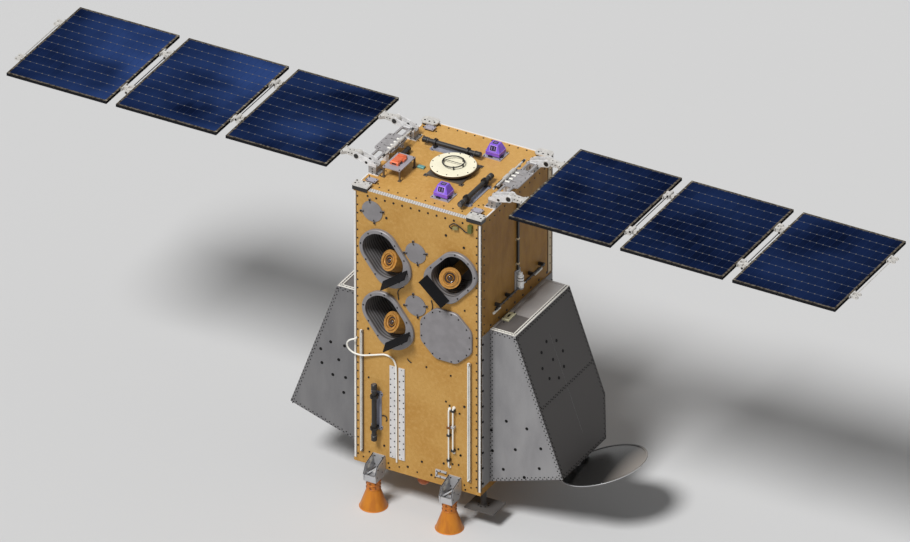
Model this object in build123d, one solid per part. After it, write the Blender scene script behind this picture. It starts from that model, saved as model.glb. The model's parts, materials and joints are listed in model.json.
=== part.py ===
from build123d import *
import math
import os

# Small Earth-observing satellite with two three-panel solar wings, in millimetres.
# +X runs along the wing span, the equipment face looks along -Y, and Z=0 is the
# plane of the four nozzle exits, on which the spacecraft stands.
# Pieces marked "per side" are drawn for the +X side and mirrored to the -X side.

# ---- bus -----------------------------------------------------------------------------------------
ground_clearance = 215.0        # nozzle exits to the bottom deck
bus_width = 800.0               # X
bus_depth = 826.0               # Y
bus_height = 1760.0             # bottom of the bottom deck to top of the top deck
bus_wall = 20.0                 # honeycomb sandwich panels and decks
post_size = 18.0                # square corner posts
post_setback = 2.0              # posts sit behind the faces of the panels
post_gap = 1.0                  # between a post and the panels beside it
strip_width = 28.0              # ribbed foil strip along the front edge of the deck
strip_height = 3.0
thin_strip = 8.0                # plain strips along its other edges

# ---- deck fittings -------------------------------------------------------------------------------
fitting_length = 92.0           # corner plates, along X from the bus side
fitting_width = 52.0
rear_fitting_width = 60.0
rear_fitting_corner = 16.0
fitting_height = 8.0
fitting_overhang = 8.0          # corner blocks stand proud of the bus sides
fitting_lift = 14.0             # block between the deck and the plate
fitting_drop = 12.0             # how far the block wraps down the corner
block_inset = 3.0               # block inside the plate's outline
lift_hole_radius = 4.2
lift_hole_pitch = 40.0
lift_hole_inset = 25.0          # from the front or rear face of the bus
small_plate = (60.0, 40.0, 6.0)
small_plate_spacer = (50.0, 30.0, 10.0)
small_plate_places = ((-336.0, -318.0), (-330.0, 328.0), (330.0, -322.0))
teal_box = (42.0, 24.0, 12.0)
teal_box_place = (-172.0, -54.0)

# ---- launch adapter ring -------------------------------------------------------------------------
ring_bolt_circle = 381.0
ring_bolts = 24
ring_hole_radius = 3.3
ring_flange = 30.0              # radial width
ring_height = 36.0
ring_flange_height = 8.0
ring_wall = 5.0

# ---- side housings -------------------------------------------------------------------------------
housing_half_length = 310.0     # along Y
housing_top_reach = 161.0       # outward from the bus side
housing_bottom_reach = 461.0
housing_top_z = 1236.0
housing_lip_z = 405.0           # outer bottom edge
housing_root_z = 258.0          # bottom edge at the bus side
housing_wall = 5.0
housing_corner_cut = (122.0, 216.0)     # rear lower corner of the outer face, along Y and up
flange_inset = 18.0                     # its flange ends short of the front and rear bus faces
flange_thickness = 4.0
cap_thickness = 4.0
cap_rim = 14.0
cap_block = (44.0, 86.0, 12.0)          # small bracket on the cap
cap_block_place = (30.0, -145.0)        # outward from the bus side, y

# ---- dish ----------------------------------------------------------------------------------------
dish_radius = 245.0
dish_depth = 40.0
dish_wall = 4.0
dish_rim = 5.0
dish_reach = 552.0              # rim centre, outward from the bus side
dish_drop = 75.0                # rim centre below the line of the housing's floor
dish_mount_inset = 160.0        # pedestal, inward from the dish's centre
dish_mount_size = (64.0, 110.0)
dish_mount_cheek = 22.0
feed_radius = 22.0
feed_length = 70.0

# ---- nozzles -------------------------------------------------------------------------------------
nozzle_x = 240.0
nozzle_offset = 66.0            # axis ahead of the bus face
nozzle_exit_radius = 80.0
nozzle_throat_radius = 38.0
nozzle_length = 120.0
nozzle_wall = 4.0
nozzle_neck_radius = 40.0
nozzle_neck_top = 176.0
nozzle_neck_inner = 22.0
bracket_width = 80.0
bracket_back = (206.0, 300.0)   # low and high z of its back plate on the bus face
bracket_knee = (90.0, 272.0)    # reach and z where the side webs turn down
bracket_nose = (116.0, 222.0)
bracket_toe = 26.0              # where the webs' sloping lower edge meets the neck
bracket_web = 7.0
bracket_shelf = 10.0
bracket_rib = (84.0, 8.0, 201.0, 271.0)     # diagonal rib: reach, size, low and high z
pipe_strap = (119.0, 188.0, 265.0, 312.0)   # C-shaped strap: low and high x, low and high z
pipe_strap_bar = (11.0, 8.0)

# ---- recessed cameras on the front face: x, z, and the long axis's direction in degrees ----------
cup_centres = ((-193.0, 1579.0), (216.0, 1576.0), (-177.0, 1187.0))
cup_turns = (127.0, 48.0, 127.0)
cup_frame_bevel = 4.0
cup_frame = (366.0, 250.0, 118.0)       # length, width, corner radius
cup_frame_height = 20.0
cup_mouth = (282.0, 204.0, 96.0)
cup_mouth_shift = 20.0                  # towards the end the camera looks to
cup_depth = 190.0
cup_wall = 4.0
cup_clearance = 1.0
camera_radius = 60.0
camera_length = 80.0
camera_cant = 35.0                      # degrees from the face's normal
camera_foot = (60.0, 70.0)
camera_front = (-20.0, -8.0)            # centre of its front: along the cup, out of the face
shade_size = (190.0, 60.0, 5.0)         # across the cup, height, thickness
shade_place = -112.0                    # foot of the shade, along the cup
shade_lean = -24.0                      # degrees, away from the camera

# ---- covers on the front face: x, z --------------------------------------------------------------
cover_places = ((-280.0, 1855.0), (-7.0, 1665.0), (-7.0, 1328.0))
cover_radius = 64.0
cover_height = 5.0
cover_tab = (24.0, 12.0, 7.0)
large_cover_place = (188.0, 1193.0)
large_cover_radius = 176.0              # of the octagon's corners
large_cover_corner = 60.0
large_cover_height = 16.0

# ---- rails, strips, tubes and cables on the front face -------------------------------------------
rail_height = 12.0
rails = ((-346.0, 292.0, 1074.0, 18.0), (333.0, 294.0, 1057.0, 22.0))   # x, low z, high z, width
strip_places = (-152.0, -95.5)          # perforated strips, x
strip_z = (304.0, 896.0)
strip_plate = (38.0, 6.0)
strip_hole_radius = 3.5
strip_hole_column = 12.5                # from the strip's middle
strip_hole_pitch = 88.0                 # from one pair of holes to the next
strip_hole_pair = 34.0
feed_tubes = ((207.0, 352.0, 726.0), (234.0, 452.0, 740.0))             # x, low z, high z
feed_tube_radius = 4.5
feed_tube_standoff = 16.0
cable_radius = 5.0
cable_points = (                        # x, lift above its rest on the face, z
    (-380.0, -5.0, 1013.0), (-380.0, 13.0, 1013.0), (-408.0, 25.0, 1006.0), (-430.0, 21.0, 978.0),
    (-424.0, 17.0, 942.0), (-392.0, 17.0, 922.0), (-340.0, 17.0, 919.0), (-270.0, 4.0, 936.0),
    (-196.0, 3.0, 962.0), (-146.0, 4.0, 950.0), (-128.0, 3.0, 908.0), (-127.0, 1.0, 800.0),
    (-127.0, 0.0, 282.0),
)
loop_radius = 3.5
loop_points = (                         # x, lift, z
    (222.0, -4.5, 1893.0), (222.0, 6.0, 1893.0), (206.0, 8.0, 1905.0), (238.0, 6.0, 1936.0),
    (276.0, 4.0, 1918.0), (312.0, 2.0, 1890.0), (340.0, 2.0, 1902.0),
)
plug_size = (24.0, 22.0, 46.0)
plug_place = (340.0, 1925.0)

# ---- magnetic torque rods ------------------------------------------------------------------------
cross_rod_place = (-104.0, 170.0)       # on the deck, along X: x, y
side_rod_place = (235.0, -171.0)        # on the deck, along Y
face_rod_place = (-252.0, 585.0)        # on the front face, upright: x, z
rod_length = 364.0
rod_radius = 14.0
rod_collar = (17.0, 30.0)               # radius and length of the thicker ends
rod_standoff = 36.0
rod_cradle_pitch = 205.0
rod_cradle = (14.0, 30.0)
rod_ring_radius = 23.0
rod_plate = (250.0, 58.0, 5.0)
rod_tab = (18.0, 14.0)

# ---- table bracket and red unit ------------------------------------------------------------------
table_centre = (-256.0, -155.0)
table_size = (110.0, 176.0)
table_height = 68.0
table_thickness = 6.0
table_leg = 9.0
table_foot = 18.0
table_foot_thickness = 5.0
red_unit_size = (52.0, 102.0, 20.0)
red_unit_bevel = 5.0
red_unit_place = (-262.0, -150.0)

# ---- disc antenna --------------------------------------------------------------------------------
disc_radius = 130.0
disc_thickness = 14.0
disc_standoff = 30.0
disc_pedestal_radius = 46.0
disc_base = (222.0, 222.0, 10.0)
disc_base_tab = 24.0
disc_ring_radius = 61.0
disc_ring_wire = 3.5
disc_ring_lift = 17.0           # ring above the disc
disc_post_radius = 4.5
disc_post_turns = (0.0, 57.0, 180.0, -60.0)     # degrees

# ---- sun sensors: x, y ---------------------------------------------------------------------------
sensor_places = ((121.0, 262.0), (84.0, -262.0))
sensor_head = (86.0, 76.0, 66.0)
sensor_head_straight = 22.0
sensor_taper = 17.0
sensor_window = (26.0, 2.0)     # side and depth of the square recess on top
sensor_body = (66.0, 58.0, 8.0)
sensor_plate = (114.0, 100.0, 7.0)

# ---- under the bottom deck -----------------------------------------------------------------------
patch_size = (182.0, 149.0, 6.0)
patch_place = (376.0, -320.0, 101.0)
patch_post_radius = 16.0
dome_place = (0.0, -336.0)
dome_radius = 37.0
dome_height = 80.0

# ---- side release gear, per side -----------------------------------------------------------------
conduit_width = 14.0
conduit_height = 12.0
conduit_z = (1462.0, 1900.0)
release_z = 1401.0
release_plate = (8.0, 58.0, 122.0)
release_barrel = (18.0, 88.0)           # radius and length
release_neck = (11.0, 22.0)
release_rod_half = 262.0
release_rod_z = 1370.0
release_rod_radius = 4.0
release_rod_standoff = 30.0
release_clip = (14.0, 18.0)

# ---- wings, per side -----------------------------------------------------------------------------
wing_height = 85.0              # panel mid-plane above the deck
wing_inner = 572.0              # inner edge of the first panel, from the middle
panel_length = 636.0            # X
panel_width = 820.0             # Y
panel_thickness = 18.0
panel_gap = 60.0
panel_rim = 12.0
panel_field_depth = 1.2
panel_field_corner = 14.0
panel_count = 3
arm_length = 94.0               # root hinge axis to the first panel
hinge_y = 215.0
fold_offset = 14.0              # fold axes above or below the mid-plane
hinge_clearance = 0.1           # between pins and bores
hinge_play = 1.0                # between lugs, along the pin
root_pin_radius = 14.0
root_pin_bore = 10.5
root_boss_radius = 22.0
root_arm_width = 34.0
root_ear_width = 9.0
root_ear_hole = 9.0
root_pedestal = (48.0, 56.0, 44.0)      # along X and Y, and height above the deck
root_foot = (66.0, 74.0, 6.0)
root_foot_hole = 4.0
arm_root_height = 36.0
arm_tip_height = 18.0
arm_hole_radius = 6.0
arm_hole_shares = (0.25, 0.72)           # of the run from the boss to the flare
arm_shoe = (8.0, 76.0)
arm_flare = 30.0                # length of the gussets at the shoe
fold_pin_radius = 5.0
fold_boss_radius = 11.0
fold_lug = 18.0
fold_shoe = (6.0, 70.0)
yoke_z = (62.0, 70.0)           # plate between the pedestals, above the deck
yoke_middle = (336.0, 452.0, 88.0)      # low x, high x and half width
yoke_neck = (368.0, 428.0)      # x of the necks that reach the pedestals
yoke_fillet = 10.0
yoke_slot = (34.0, 9.0)
yoke_web = 8.0
yoke_bar = 12.0                 # thin bars left beside the window in each neck
yoke_window_end = 10.0          # from the window to the plate's middle part and to the clevis
cartridge_length = 34.0
cartridge_radius = 8.0
cartridge_pitch = 36.0
cartridge_inset = 14.0          # from the yoke's inner edge
damper_radius = 14.0
damper_length = 120.0
damper_x = 312.0
damper_lift = 26.0
damper_block = (22.0, 20.0)
tip_lug_reach = 48.0
tip_lug_width = 22.0
tip_lug_hole_radius = 5.0
tip_rod_radius = 3.0
tip_rod_reach = 20.0

# ---- worked-out places ---------------------------------------------------------------------------
half_width = bus_width / 2
half_depth = bus_depth / 2
bottom_z = ground_clearance
deck_z = ground_clearance + bus_height
wing_z = deck_z + wing_height
root_x = wing_inner - arm_length
front_y = -half_depth
housing_fall = (housing_lip_z - housing_root_z) / housing_bottom_reach
dish_z = housing_root_z + dish_reach * housing_fall - dish_drop
cup_places = [(x, z, turn) for (x, z), turn in zip(cup_centres, cup_turns)]
disc_top = deck_z + disc_standoff + disc_thickness
MIRROR = Plane.YZ


def span(low, high):
    """Box from its lowest to its highest corner."""
    size = [h - l for l, h in zip(low, high)]
    middle = [(l + h) / 2 for l, h in zip(low, high)]
    return Pos(*middle) * Box(*size)


def rod(start, end, radius):
    """Round bar from one point to another."""
    start, end = Vector(*start), Vector(*end)
    plane = Plane(origin=start, z_dir=end - start)
    return plane * Cylinder(radius, (end - start).length, align=(Align.CENTER, Align.CENTER, Align.MIN))


def tube_along(points, radii, radius):
    """Round tube along straight runs joined by tangent arcs."""
    path = FilletPolyline(*points, radius=radii)
    section = Plane(origin=path @ 0, z_dir=path % 0) * Circle(radius)
    return sweep(section, path=path)


def save(node, *solids):
    """One STEP file per node; like pieces of one body stay separate solids in it."""
    pieces = [piece for solid in solids for piece in solid.solids()]
    shape = pieces[0] if len(pieces) == 1 else Compound(children=pieces)
    export_step(shape, f"parts/{node}.step")


def both_sides(name, *solids):
    """Save a per-side piece for the +X side and its mirror image for the -X side."""
    save(f"{name}_right", *solids)
    save(f"{name}_left", *[mirror(solid, about=MIRROR) for solid in solids])


def face_plane(x, z, lift=0.0, angle=0.0):
    """Plane on the front face; its local Z looks out of the face."""
    turn = math.radians(angle)
    return Plane(origin=(x, front_y - lift, z), x_dir=(math.cos(turn), 0, math.sin(turn)), z_dir=(0, -1, 0))


# ---- bus shell -----------------------------------------------------------------------------------
def bus_posts():
    inset = post_setback + post_size / 2
    posts = []
    for sx in (-1, 1):
        for sy in (-1, 1):
            x, y = sx * (half_width - inset), sy * (half_depth - inset)
            low = (x - post_size / 2, y - post_size / 2, bottom_z + bus_wall)
            high = (x + post_size / 2, y + post_size / 2, deck_z - bus_wall)
            posts.append(span(low, high))
    return posts


def bus_panel(half_length, outer, along_x):
    edge = half_length - post_setback - post_size - post_gap
    low_z, high_z = bottom_z + bus_wall, deck_z - bus_wall
    inner = outer - math.copysign(bus_wall, outer)
    across = sorted((inner, outer))
    if along_x:
        return span((-edge, across[0], low_z), (edge, across[1], high_z))
    return span((across[0], -edge, low_z), (across[1], edge, high_z))


def cup_profile(size, grow=0.0):
    return RectangleRounded(size[0] + 2 * grow, size[1] + 2 * grow, size[2] + grow)


def front_panel():
    panel = bus_panel(half_width, front_y, along_x=True)
    for x, z, angle in cup_places:
        plane = face_plane(x, z, 0, angle)
        hole = Pos(cup_mouth_shift, 0) * cup_profile(cup_mouth, cup_wall + cup_clearance)
        panel -= plane * extrude(hole, amount=-3 * bus_wall, both=True)
    return panel


def edge_strips():
    """Ribbed strip along the front edge of the deck and plain ones along the others."""
    z = (deck_z, deck_z + strip_height)
    along = half_width - fitting_length - 2
    strips = [span((-along, front_y, z[0]), (along, front_y + strip_width, z[1]))]
    strips.append(span((-along, half_depth - thin_strip, z[0]), (along, half_depth, z[1])))
    start, stop = hinge_y + root_foot[1] / 2 + 3, half_depth - rear_fitting_width - 2
    for sx in (-1, 1):
        for sy in (-1, 1):
            xs = sorted((sx * half_width, sx * (half_width - thin_strip)))
            ys = sorted((sy * start, sy * stop))
            strips.append(span((xs[0], ys[0], z[0]), (xs[1], ys[1], z[1])))
    return strips


def corner_outline(sx, sy, inset=0.0):
    """Outline of a corner plate; the rear ones have their corners cut off."""
    width = fitting_width if sy < 0 else rear_fitting_width
    xs = sorted((sx * (half_width + fitting_overhang - inset), sx * (half_width - fitting_length + inset)))
    ys = sorted((sy * (half_depth + fitting_overhang - inset), sy * (half_depth - width + inset)))
    outline = Rectangle(xs[1] - xs[0], ys[1] - ys[0])
    if sy > 0:
        outline = chamfer(outline.vertices(), rear_fitting_corner)
    return Pos((xs[0] + xs[1]) / 2, (ys[0] + ys[1]) / 2) * outline


def corner_fittings():
    fittings = []
    middle = half_width - (fitting_length - fitting_overhang) / 2
    for sx in (-1, 1):
        for sy in (-1, 1):
            outline = corner_outline(sx, sy)
            fitting = Pos(0, 0, deck_z + fitting_lift) * extrude(outline, amount=fitting_height)
            for k in (-0.5, 0.5):
                hole_y = sy * (half_depth - lift_hole_inset)
                hole = Pos(sx * middle + k * lift_hole_pitch, hole_y, deck_z + fitting_lift)
                fitting -= hole * Cylinder(lift_hole_radius, 4 * fitting_height)
            fittings.append(fitting)
    return fittings


def corner_blocks():
    """Black blocks under the corner plates, which wrap the corners, and under the small plates."""
    blocks = []
    for sx in (-1, 1):
        for sy in (-1, 1):
            height = fitting_lift + fitting_drop
            outline = corner_outline(sx, sy, block_inset)
            block = Pos(0, 0, deck_z - fitting_drop) * extrude(outline, amount=height)
            blocks.append(block - span((-half_width, -half_depth, 0), (half_width, half_depth, deck_z)))
    for x, y in small_plate_places:
        blocks.append(Pos(x, y, deck_z + small_plate_spacer[2] / 2) * Box(*small_plate_spacer))
    return blocks


def deck_plates():
    plates = []
    for x, y in small_plate_places:
        plates.append(Pos(x, y, deck_z + small_plate_spacer[2] + small_plate[2] / 2) * Box(*small_plate))
    for x, y in sensor_places:
        plates.append(Pos(x, y, deck_z + sensor_plate[2] / 2) * Box(*sensor_plate))
    x, y = teal_box_place
    box = Pos(x, y, deck_z + teal_box[2] / 2) * Box(*teal_box)
    plates.append(chamfer(box.faces().sort_by(Axis.Z)[-1].edges(), 2))
    return plates


def adapter_ring():
    outer = (ring_bolt_circle + ring_flange) / 2
    inner = (ring_bolt_circle - ring_flange) / 2
    face_z = bottom_z - ring_height
    at = Align.CENTER, Align.CENTER, Align.MIN
    body = Pos(0, 0, face_z) * (Cylinder(inner + ring_wall, ring_height, align=at))
    for z in (face_z, bottom_z - ring_flange_height):
        body += Pos(0, 0, z) * Cylinder(outer, ring_flange_height, align=at)
    body -= Pos(0, 0, face_z) * Cylinder(inner, ring_height, align=at)
    bolt = Pos(0, 0, face_z) * Cylinder(ring_hole_radius, 3 * ring_flange_height)
    return body - [place * bolt for place in PolarLocations(ring_bolt_circle / 2, ring_bolts)]


# ---- side housings and dish ----------------------------------------------------------------------
def housing_slope():
    run = housing_bottom_reach - housing_top_reach
    rise = housing_top_z - housing_lip_z
    return math.atan2(run, rise)


def side_housing():
    points = [
        (half_width, housing_root_z),
        (half_width + housing_bottom_reach, housing_lip_z),
        (half_width + housing_top_reach, housing_top_z),
        (half_width, housing_top_z),
    ]
    section = Plane.XZ * make_face(Polyline(*points, close=True))
    body = extrude(section, amount=housing_half_length, both=True)
    slope = housing_slope()
    lip = Plane(
        origin=(half_width + housing_bottom_reach, housing_half_length, housing_lip_z),
        x_dir=(0, 1, 0),
        z_dir=(math.cos(slope), 0, math.sin(slope)),
    )
    cut_y, cut_up = housing_corner_cut
    corner = make_face(Polyline(
        (-cut_y, 0), (0, cut_up), (cut_y, cut_up), (cut_y, -cut_up), (-cut_y, -cut_up), close=True))
    body -= lip * extrude(corner, amount=2 * housing_bottom_reach, both=True)
    back = body.faces().sort_by(Axis.X)[0]
    shell = offset(body, amount=-housing_wall, openings=back)
    low, high = housing_root_z + 4, housing_top_z
    for s in (-1, 1):
        ys = sorted((s * (housing_half_length - housing_wall), s * (half_depth - flange_inset)))
        shell += span((half_width, ys[0], low), (half_width + flange_thickness, ys[1], high))
    return shell


def housing_cap():
    low = (half_width, -housing_half_length, housing_top_z)
    high = (half_width + housing_top_reach, housing_half_length, housing_top_z + cap_thickness)
    cap = span(low, high)
    half = housing_half_length - cap_rim
    low = (half_width + cap_rim, -half, housing_top_z + cap_thickness / 2)
    high = (half_width + housing_top_reach - cap_rim, half, housing_top_z + 2 * cap_thickness)
    return cap - span(low, high)


def cap_bracket():
    out, y = cap_block_place
    low = housing_top_z + cap_thickness / 2
    block = Pos(half_width + out, y, low + cap_block[2] / 2) * Box(*cap_block)
    return chamfer(block.faces().sort_by(Axis.Z)[-1].edges(), 4)


def dish_plane():
    """Rim plane of the dish; local Z looks back from the rim towards the bus side above it."""
    fall = math.atan(housing_fall)
    return Plane(
        origin=(half_width + dish_reach, 0, dish_z),
        x_dir=(math.cos(fall), 0, math.sin(fall)),
        z_dir=(-math.sin(fall), 0, math.cos(fall)),
    )


def arc_height(radius, depth):
    return (radius ** 2 + depth ** 2) / (2 * depth)


def dish():
    outer_radius = arc_height(dish_radius, dish_depth)
    centre_z = dish_depth - outer_radius
    ball = Pos(0, 0, centre_z) * Sphere(outer_radius)
    hollow = Pos(0, 0, centre_z) * Sphere(outer_radius - dish_wall)
    above = Pos(0, 0, dish_depth) * Box(2 * dish_radius, 2 * dish_radius, 2 * dish_depth)
    shell = (ball & above & Cylinder(dish_radius, 4 * dish_depth)) - hollow
    rim = Cylinder(dish_radius + dish_rim, 2 * dish_rim) - Cylinder(dish_radius - dish_rim, 4 * dish_rim)
    shell += rim
    top = dish_depth - dish_wall / 2
    shell += Pos(0, 0, top - feed_length / 2) * Cylinder(feed_radius / 2, feed_length)
    shell += Pos(0, 0, top - feed_length) * Cylinder(feed_radius, feed_radius / 2)
    return dish_plane() * shell


def dish_mount():
    """Two cheeks between the housing's sloping floor and the back of the dish."""
    x = half_width + dish_reach - dish_mount_inset
    size_x, size_y = dish_mount_size
    low, high = dish_z - dish_radius / 2, dish_z + dish_radius
    block = span((x - size_x / 2, -size_y / 2, low), (x + size_x / 2, size_y / 2, high))
    block -= Pos(x, 0, dish_z) * Box(2 * size_x, size_y - 2 * dish_mount_cheek, 4 * dish_radius)
    fall = math.atan(housing_fall)
    floor = Plane(origin=(half_width, 0, housing_root_z), x_dir=(math.cos(fall), 0, math.sin(fall)),
                  z_dir=(-math.sin(fall), 0, math.cos(fall)))
    size = 4 * bus_width
    block -= floor * Pos(0, 0, size / 2) * Box(size, size, size)
    outer_radius = arc_height(dish_radius, dish_depth)
    block -= dish_plane() * Pos(0, 0, dish_depth - outer_radius) * Sphere(outer_radius)
    return block


# ---- nozzles -------------------------------------------------------------------------------------
def nozzle(x, y):
    profile = Polyline(
        (nozzle_exit_radius - nozzle_wall, 0),
        (nozzle_exit_radius, 0),
        (nozzle_throat_radius, nozzle_length),
        (nozzle_neck_radius, nozzle_length),
        (nozzle_neck_radius, nozzle_neck_top),
        (0, nozzle_neck_top),
        (0, nozzle_length + 12),
        (nozzle_neck_inner, nozzle_length + 12),
        (nozzle_neck_inner, nozzle_length - 4),
        (nozzle_throat_radius - nozzle_wall, nozzle_length - 4),
        close=True,
    )
    return Pos(x, y, 0) * revolve(Plane.XZ * make_face(profile), Axis.Z)


def nozzle_bracket(x, s):
    """Machined seat: a back plate on the face, two side webs, a shelf over the neck and a diagonal rib."""
    face = s * half_depth
    half = bracket_width / 2
    front = nozzle_offset + nozzle_neck_radius + 4
    low, high = bracket_back

    def part(x0, x1, y0, y1, z0, z1):
        ys = sorted((face + s * y0, face + s * y1))
        return span((x + x0, ys[0], z0), (x + x1, ys[1], z1))

    seat = part(-half, half, 0, bracket_web, low, high)
    seat += part(-half, half, bracket_toe, front, nozzle_neck_top, nozzle_neck_top + bracket_shelf)
    seat += part(-half, half, front - bracket_web, front, nozzle_neck_top, bracket_nose[1] - bracket_shelf)
    corners = [(0, high), bracket_knee, bracket_nose, (front, nozzle_neck_top),
               (bracket_toe, nozzle_neck_top), (0, low)]
    outline = make_face(Polyline(*[(face + s * out, z) for out, z in corners], close=True))
    web = extrude(Plane.YZ * outline, amount=bracket_web / 2, both=True)
    for k in (-1, 1):
        seat += Pos(x + k * (half - bracket_web / 2), 0, 0) * web
    reach, size, low_z, high_z = bracket_rib
    lean = math.degrees(math.atan2(high_z - low_z, bracket_width))
    length = math.hypot(bracket_width - bracket_web, high_z - low_z)
    rib = Pos(x, face + s * (reach + size / 2), (low_z + high_z) / 2) * Rot(0, -lean, 0)
    seat += rib * Box(length, size, size)
    return seat


def strap():
    """C-shaped strap on the front face, open towards the bracket beside it."""
    x0, x1, z0, z1 = pipe_strap
    wide, thick = pipe_strap_bar
    frame = span((x0, front_y - thick, z0), (x1, front_y, z1))
    return frame - span((x0 + wide, front_y - 2 * thick, z0 + wide), (x1 + wide, front_y + 1, z1 - wide))


# ---- front face ----------------------------------------------------------------------------------
def cup(x, z, angle):
    """Rounded frame on the face with a deep closed cup behind it."""
    plane = face_plane(x, z, 0, angle)
    mouth = Pos(cup_mouth_shift, 0) * cup_profile(cup_mouth)
    sleeve = Pos(cup_mouth_shift, 0) * cup_profile(cup_mouth, cup_wall)
    body = extrude(cup_profile(cup_frame), amount=cup_frame_height)
    body = chamfer(body.faces().sort_by(Axis.Z)[-1].edges(), cup_frame_bevel)
    body += extrude(sleeve, amount=-cup_depth)
    body -= Pos(0, 0, cup_frame_height) * extrude(mouth, amount=-(cup_depth + cup_frame_height - cup_wall))
    return plane * body


def camera_unit(x, z, angle):
    """Stepped round barrel, canted along the cup, on a wedge foot that reaches the cup's floor."""
    plane = face_plane(x, z, 0, angle)
    along, out = camera_front
    barrel = Pos(along, 0, out) * Rot(0, camera_cant, 0)
    body = Pos(0, 0, -camera_length / 2) * Cylinder(camera_radius, camera_length)
    body += Pos(0, 0, 3) * Cylinder(camera_radius - 14, 10)
    body -= Pos(0, 0, 4) * Cylinder(camera_radius - 22, 30)
    body += Pos(0, 0, -6) * Cylinder(12, 12)
    unit = barrel * body
    cant = math.radians(camera_cant)
    foot_x = along - camera_length * math.sin(cant)
    foot_top = out - camera_length * math.cos(cant)
    foot = Pos(foot_x + 8, 0, (foot_top - cup_depth + cup_wall) / 2 + 8)
    unit += foot * Box(*camera_foot, foot_top + 16 + cup_depth - cup_wall)
    return plane * unit


def shade(x, z, angle):
    plane = face_plane(x, z, cup_frame_height, angle)
    width, height, thick = shade_size
    lean = math.radians(shade_lean)
    run, foot_x = height * math.tan(lean), thick / math.cos(lean)
    foot = Polyline((0, 0), (foot_x, 0), (foot_x + run, height), (run, height), close=True)
    profile = Plane.XZ * make_face(foot)
    return plane * Pos(shade_place, 0, 0) * extrude(profile, amount=width / 2, both=True)


def round_cover(x, z):
    cover = extrude(Circle(cover_radius), amount=cover_height)
    for k in range(4):
        arm = Pos(cover_radius + 2, 0, cover_tab[2] / 2) * Box(*cover_tab)
        cover += Rot(0, 0, 90 * k + 12) * arm
    return face_plane(x, z) * cover


def large_cover():
    x, z = large_cover_place
    outline = fillet(RegularPolygon(large_cover_radius, 8, rotation=22.5).vertices(), large_cover_corner)
    plate = extrude(outline, amount=large_cover_height)
    plate = chamfer(plate.faces().sort_by(Axis.Z)[-1].edges(), 4)
    return face_plane(x, z) * plate


def front_rails():
    bars = []
    for x, low, high, width in rails:
        bar = span((x - width / 2, front_y - rail_height, low), (x + width / 2, front_y, high))
        near, far = (x - width / 4, front_y - 2 * rail_height), (x + width / 4, front_y - rail_height / 2)
        groove = span((*near, low + rail_height), (*far, high - rail_height))
        bars.append(bar - groove)
    return bars


def perforated_strips():
    """Two strips with a row of paired holes along each edge, staggered between the rows."""
    strips = []
    low, high = strip_z
    width, thick = strip_plate
    hole = Cylinder(strip_hole_radius, 4 * thick)
    for x in strip_places:
        strip = span((x - width / 2, front_y - thick, low), (x + width / 2, front_y, high))
        for side, start in ((-1, 0.35), (1, 0.85)):
            z = low + start * strip_hole_pitch
            while z + strip_hole_pair < high - 2 * strip_hole_radius:
                for k in (0, 1):
                    place = Pos(x + side * strip_hole_column, front_y, z + k * strip_hole_pair)
                    strip -= place * Rot(90, 0, 0) * hole
                z += strip_hole_pitch
        strips.append(strip)
    return strips


def feed_tube(x, low, high):
    y = front_y - feed_tube_standoff
    points = ((x, front_y, high), (x, y, high), (x, y, low), (x, front_y, low))
    tube = tube_along(points, feed_tube_standoff * 0.8, feed_tube_radius)
    for z in (low, high):
        tube += rod((x, front_y, z), (x, front_y - 6, z), 2 * feed_tube_radius)
    return tube


def front_cable():
    """White cable: out of the face by the left edge, over the left rail and down between the strips."""
    points = [(x, front_y - cable_radius - lift, z) for x, lift, z in cable_points]
    return tube_along(points, fillet_radii(points), cable_radius)


def fillet_radii(points):
    """Largest arc at each inner point that its two runs allow."""
    radii = []
    for before, here, after in zip(points, points[1:], points[2:]):
        one, two = Vector(*here) - Vector(*before), Vector(*after) - Vector(*here)
        turn = math.radians(one.get_angle(two))
        radii.append(0.45 * min(one.length, two.length) / math.tan(turn / 2))
    return radii


def connector_loop():
    """Short black lead that loops out of the face into a plug."""
    points = [(x, front_y - loop_radius - 1 - lift, z) for x, lift, z in loop_points]
    lead = tube_along(points, fillet_radii(points), loop_radius)
    plug = Pos(plug_place[0], front_y - plug_size[1] / 2, plug_place[1]) * Box(*plug_size)
    return lead + plug


# ---- torque rods ---------------------------------------------------------------------------------
rod_planes = (
    Plane(origin=(*cross_rod_place, deck_z), x_dir=(1, 0, 0), z_dir=(0, 0, 1)),
    Plane(origin=(*side_rod_place, deck_z), x_dir=(0, 1, 0), z_dir=(0, 0, 1)),
    Plane(origin=(face_rod_place[0], front_y, face_rod_place[1]), x_dir=(0, 0, 1), z_dir=(0, -1, 0)),
)


def torque_rod(plane):
    half = rod_length / 2
    radius, length = rod_collar
    bar = rod((-half + 4, 0, rod_standoff), (half - 4, 0, rod_standoff), rod_radius)
    for s in (-1, 1):
        collar = rod((s * (half - length), 0, rod_standoff), (s * half, 0, rod_standoff), radius)
        bar += chamfer(collar.edges().filter_by(GeomType.CIRCLE), 2.5)
    return plane * bar


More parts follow.
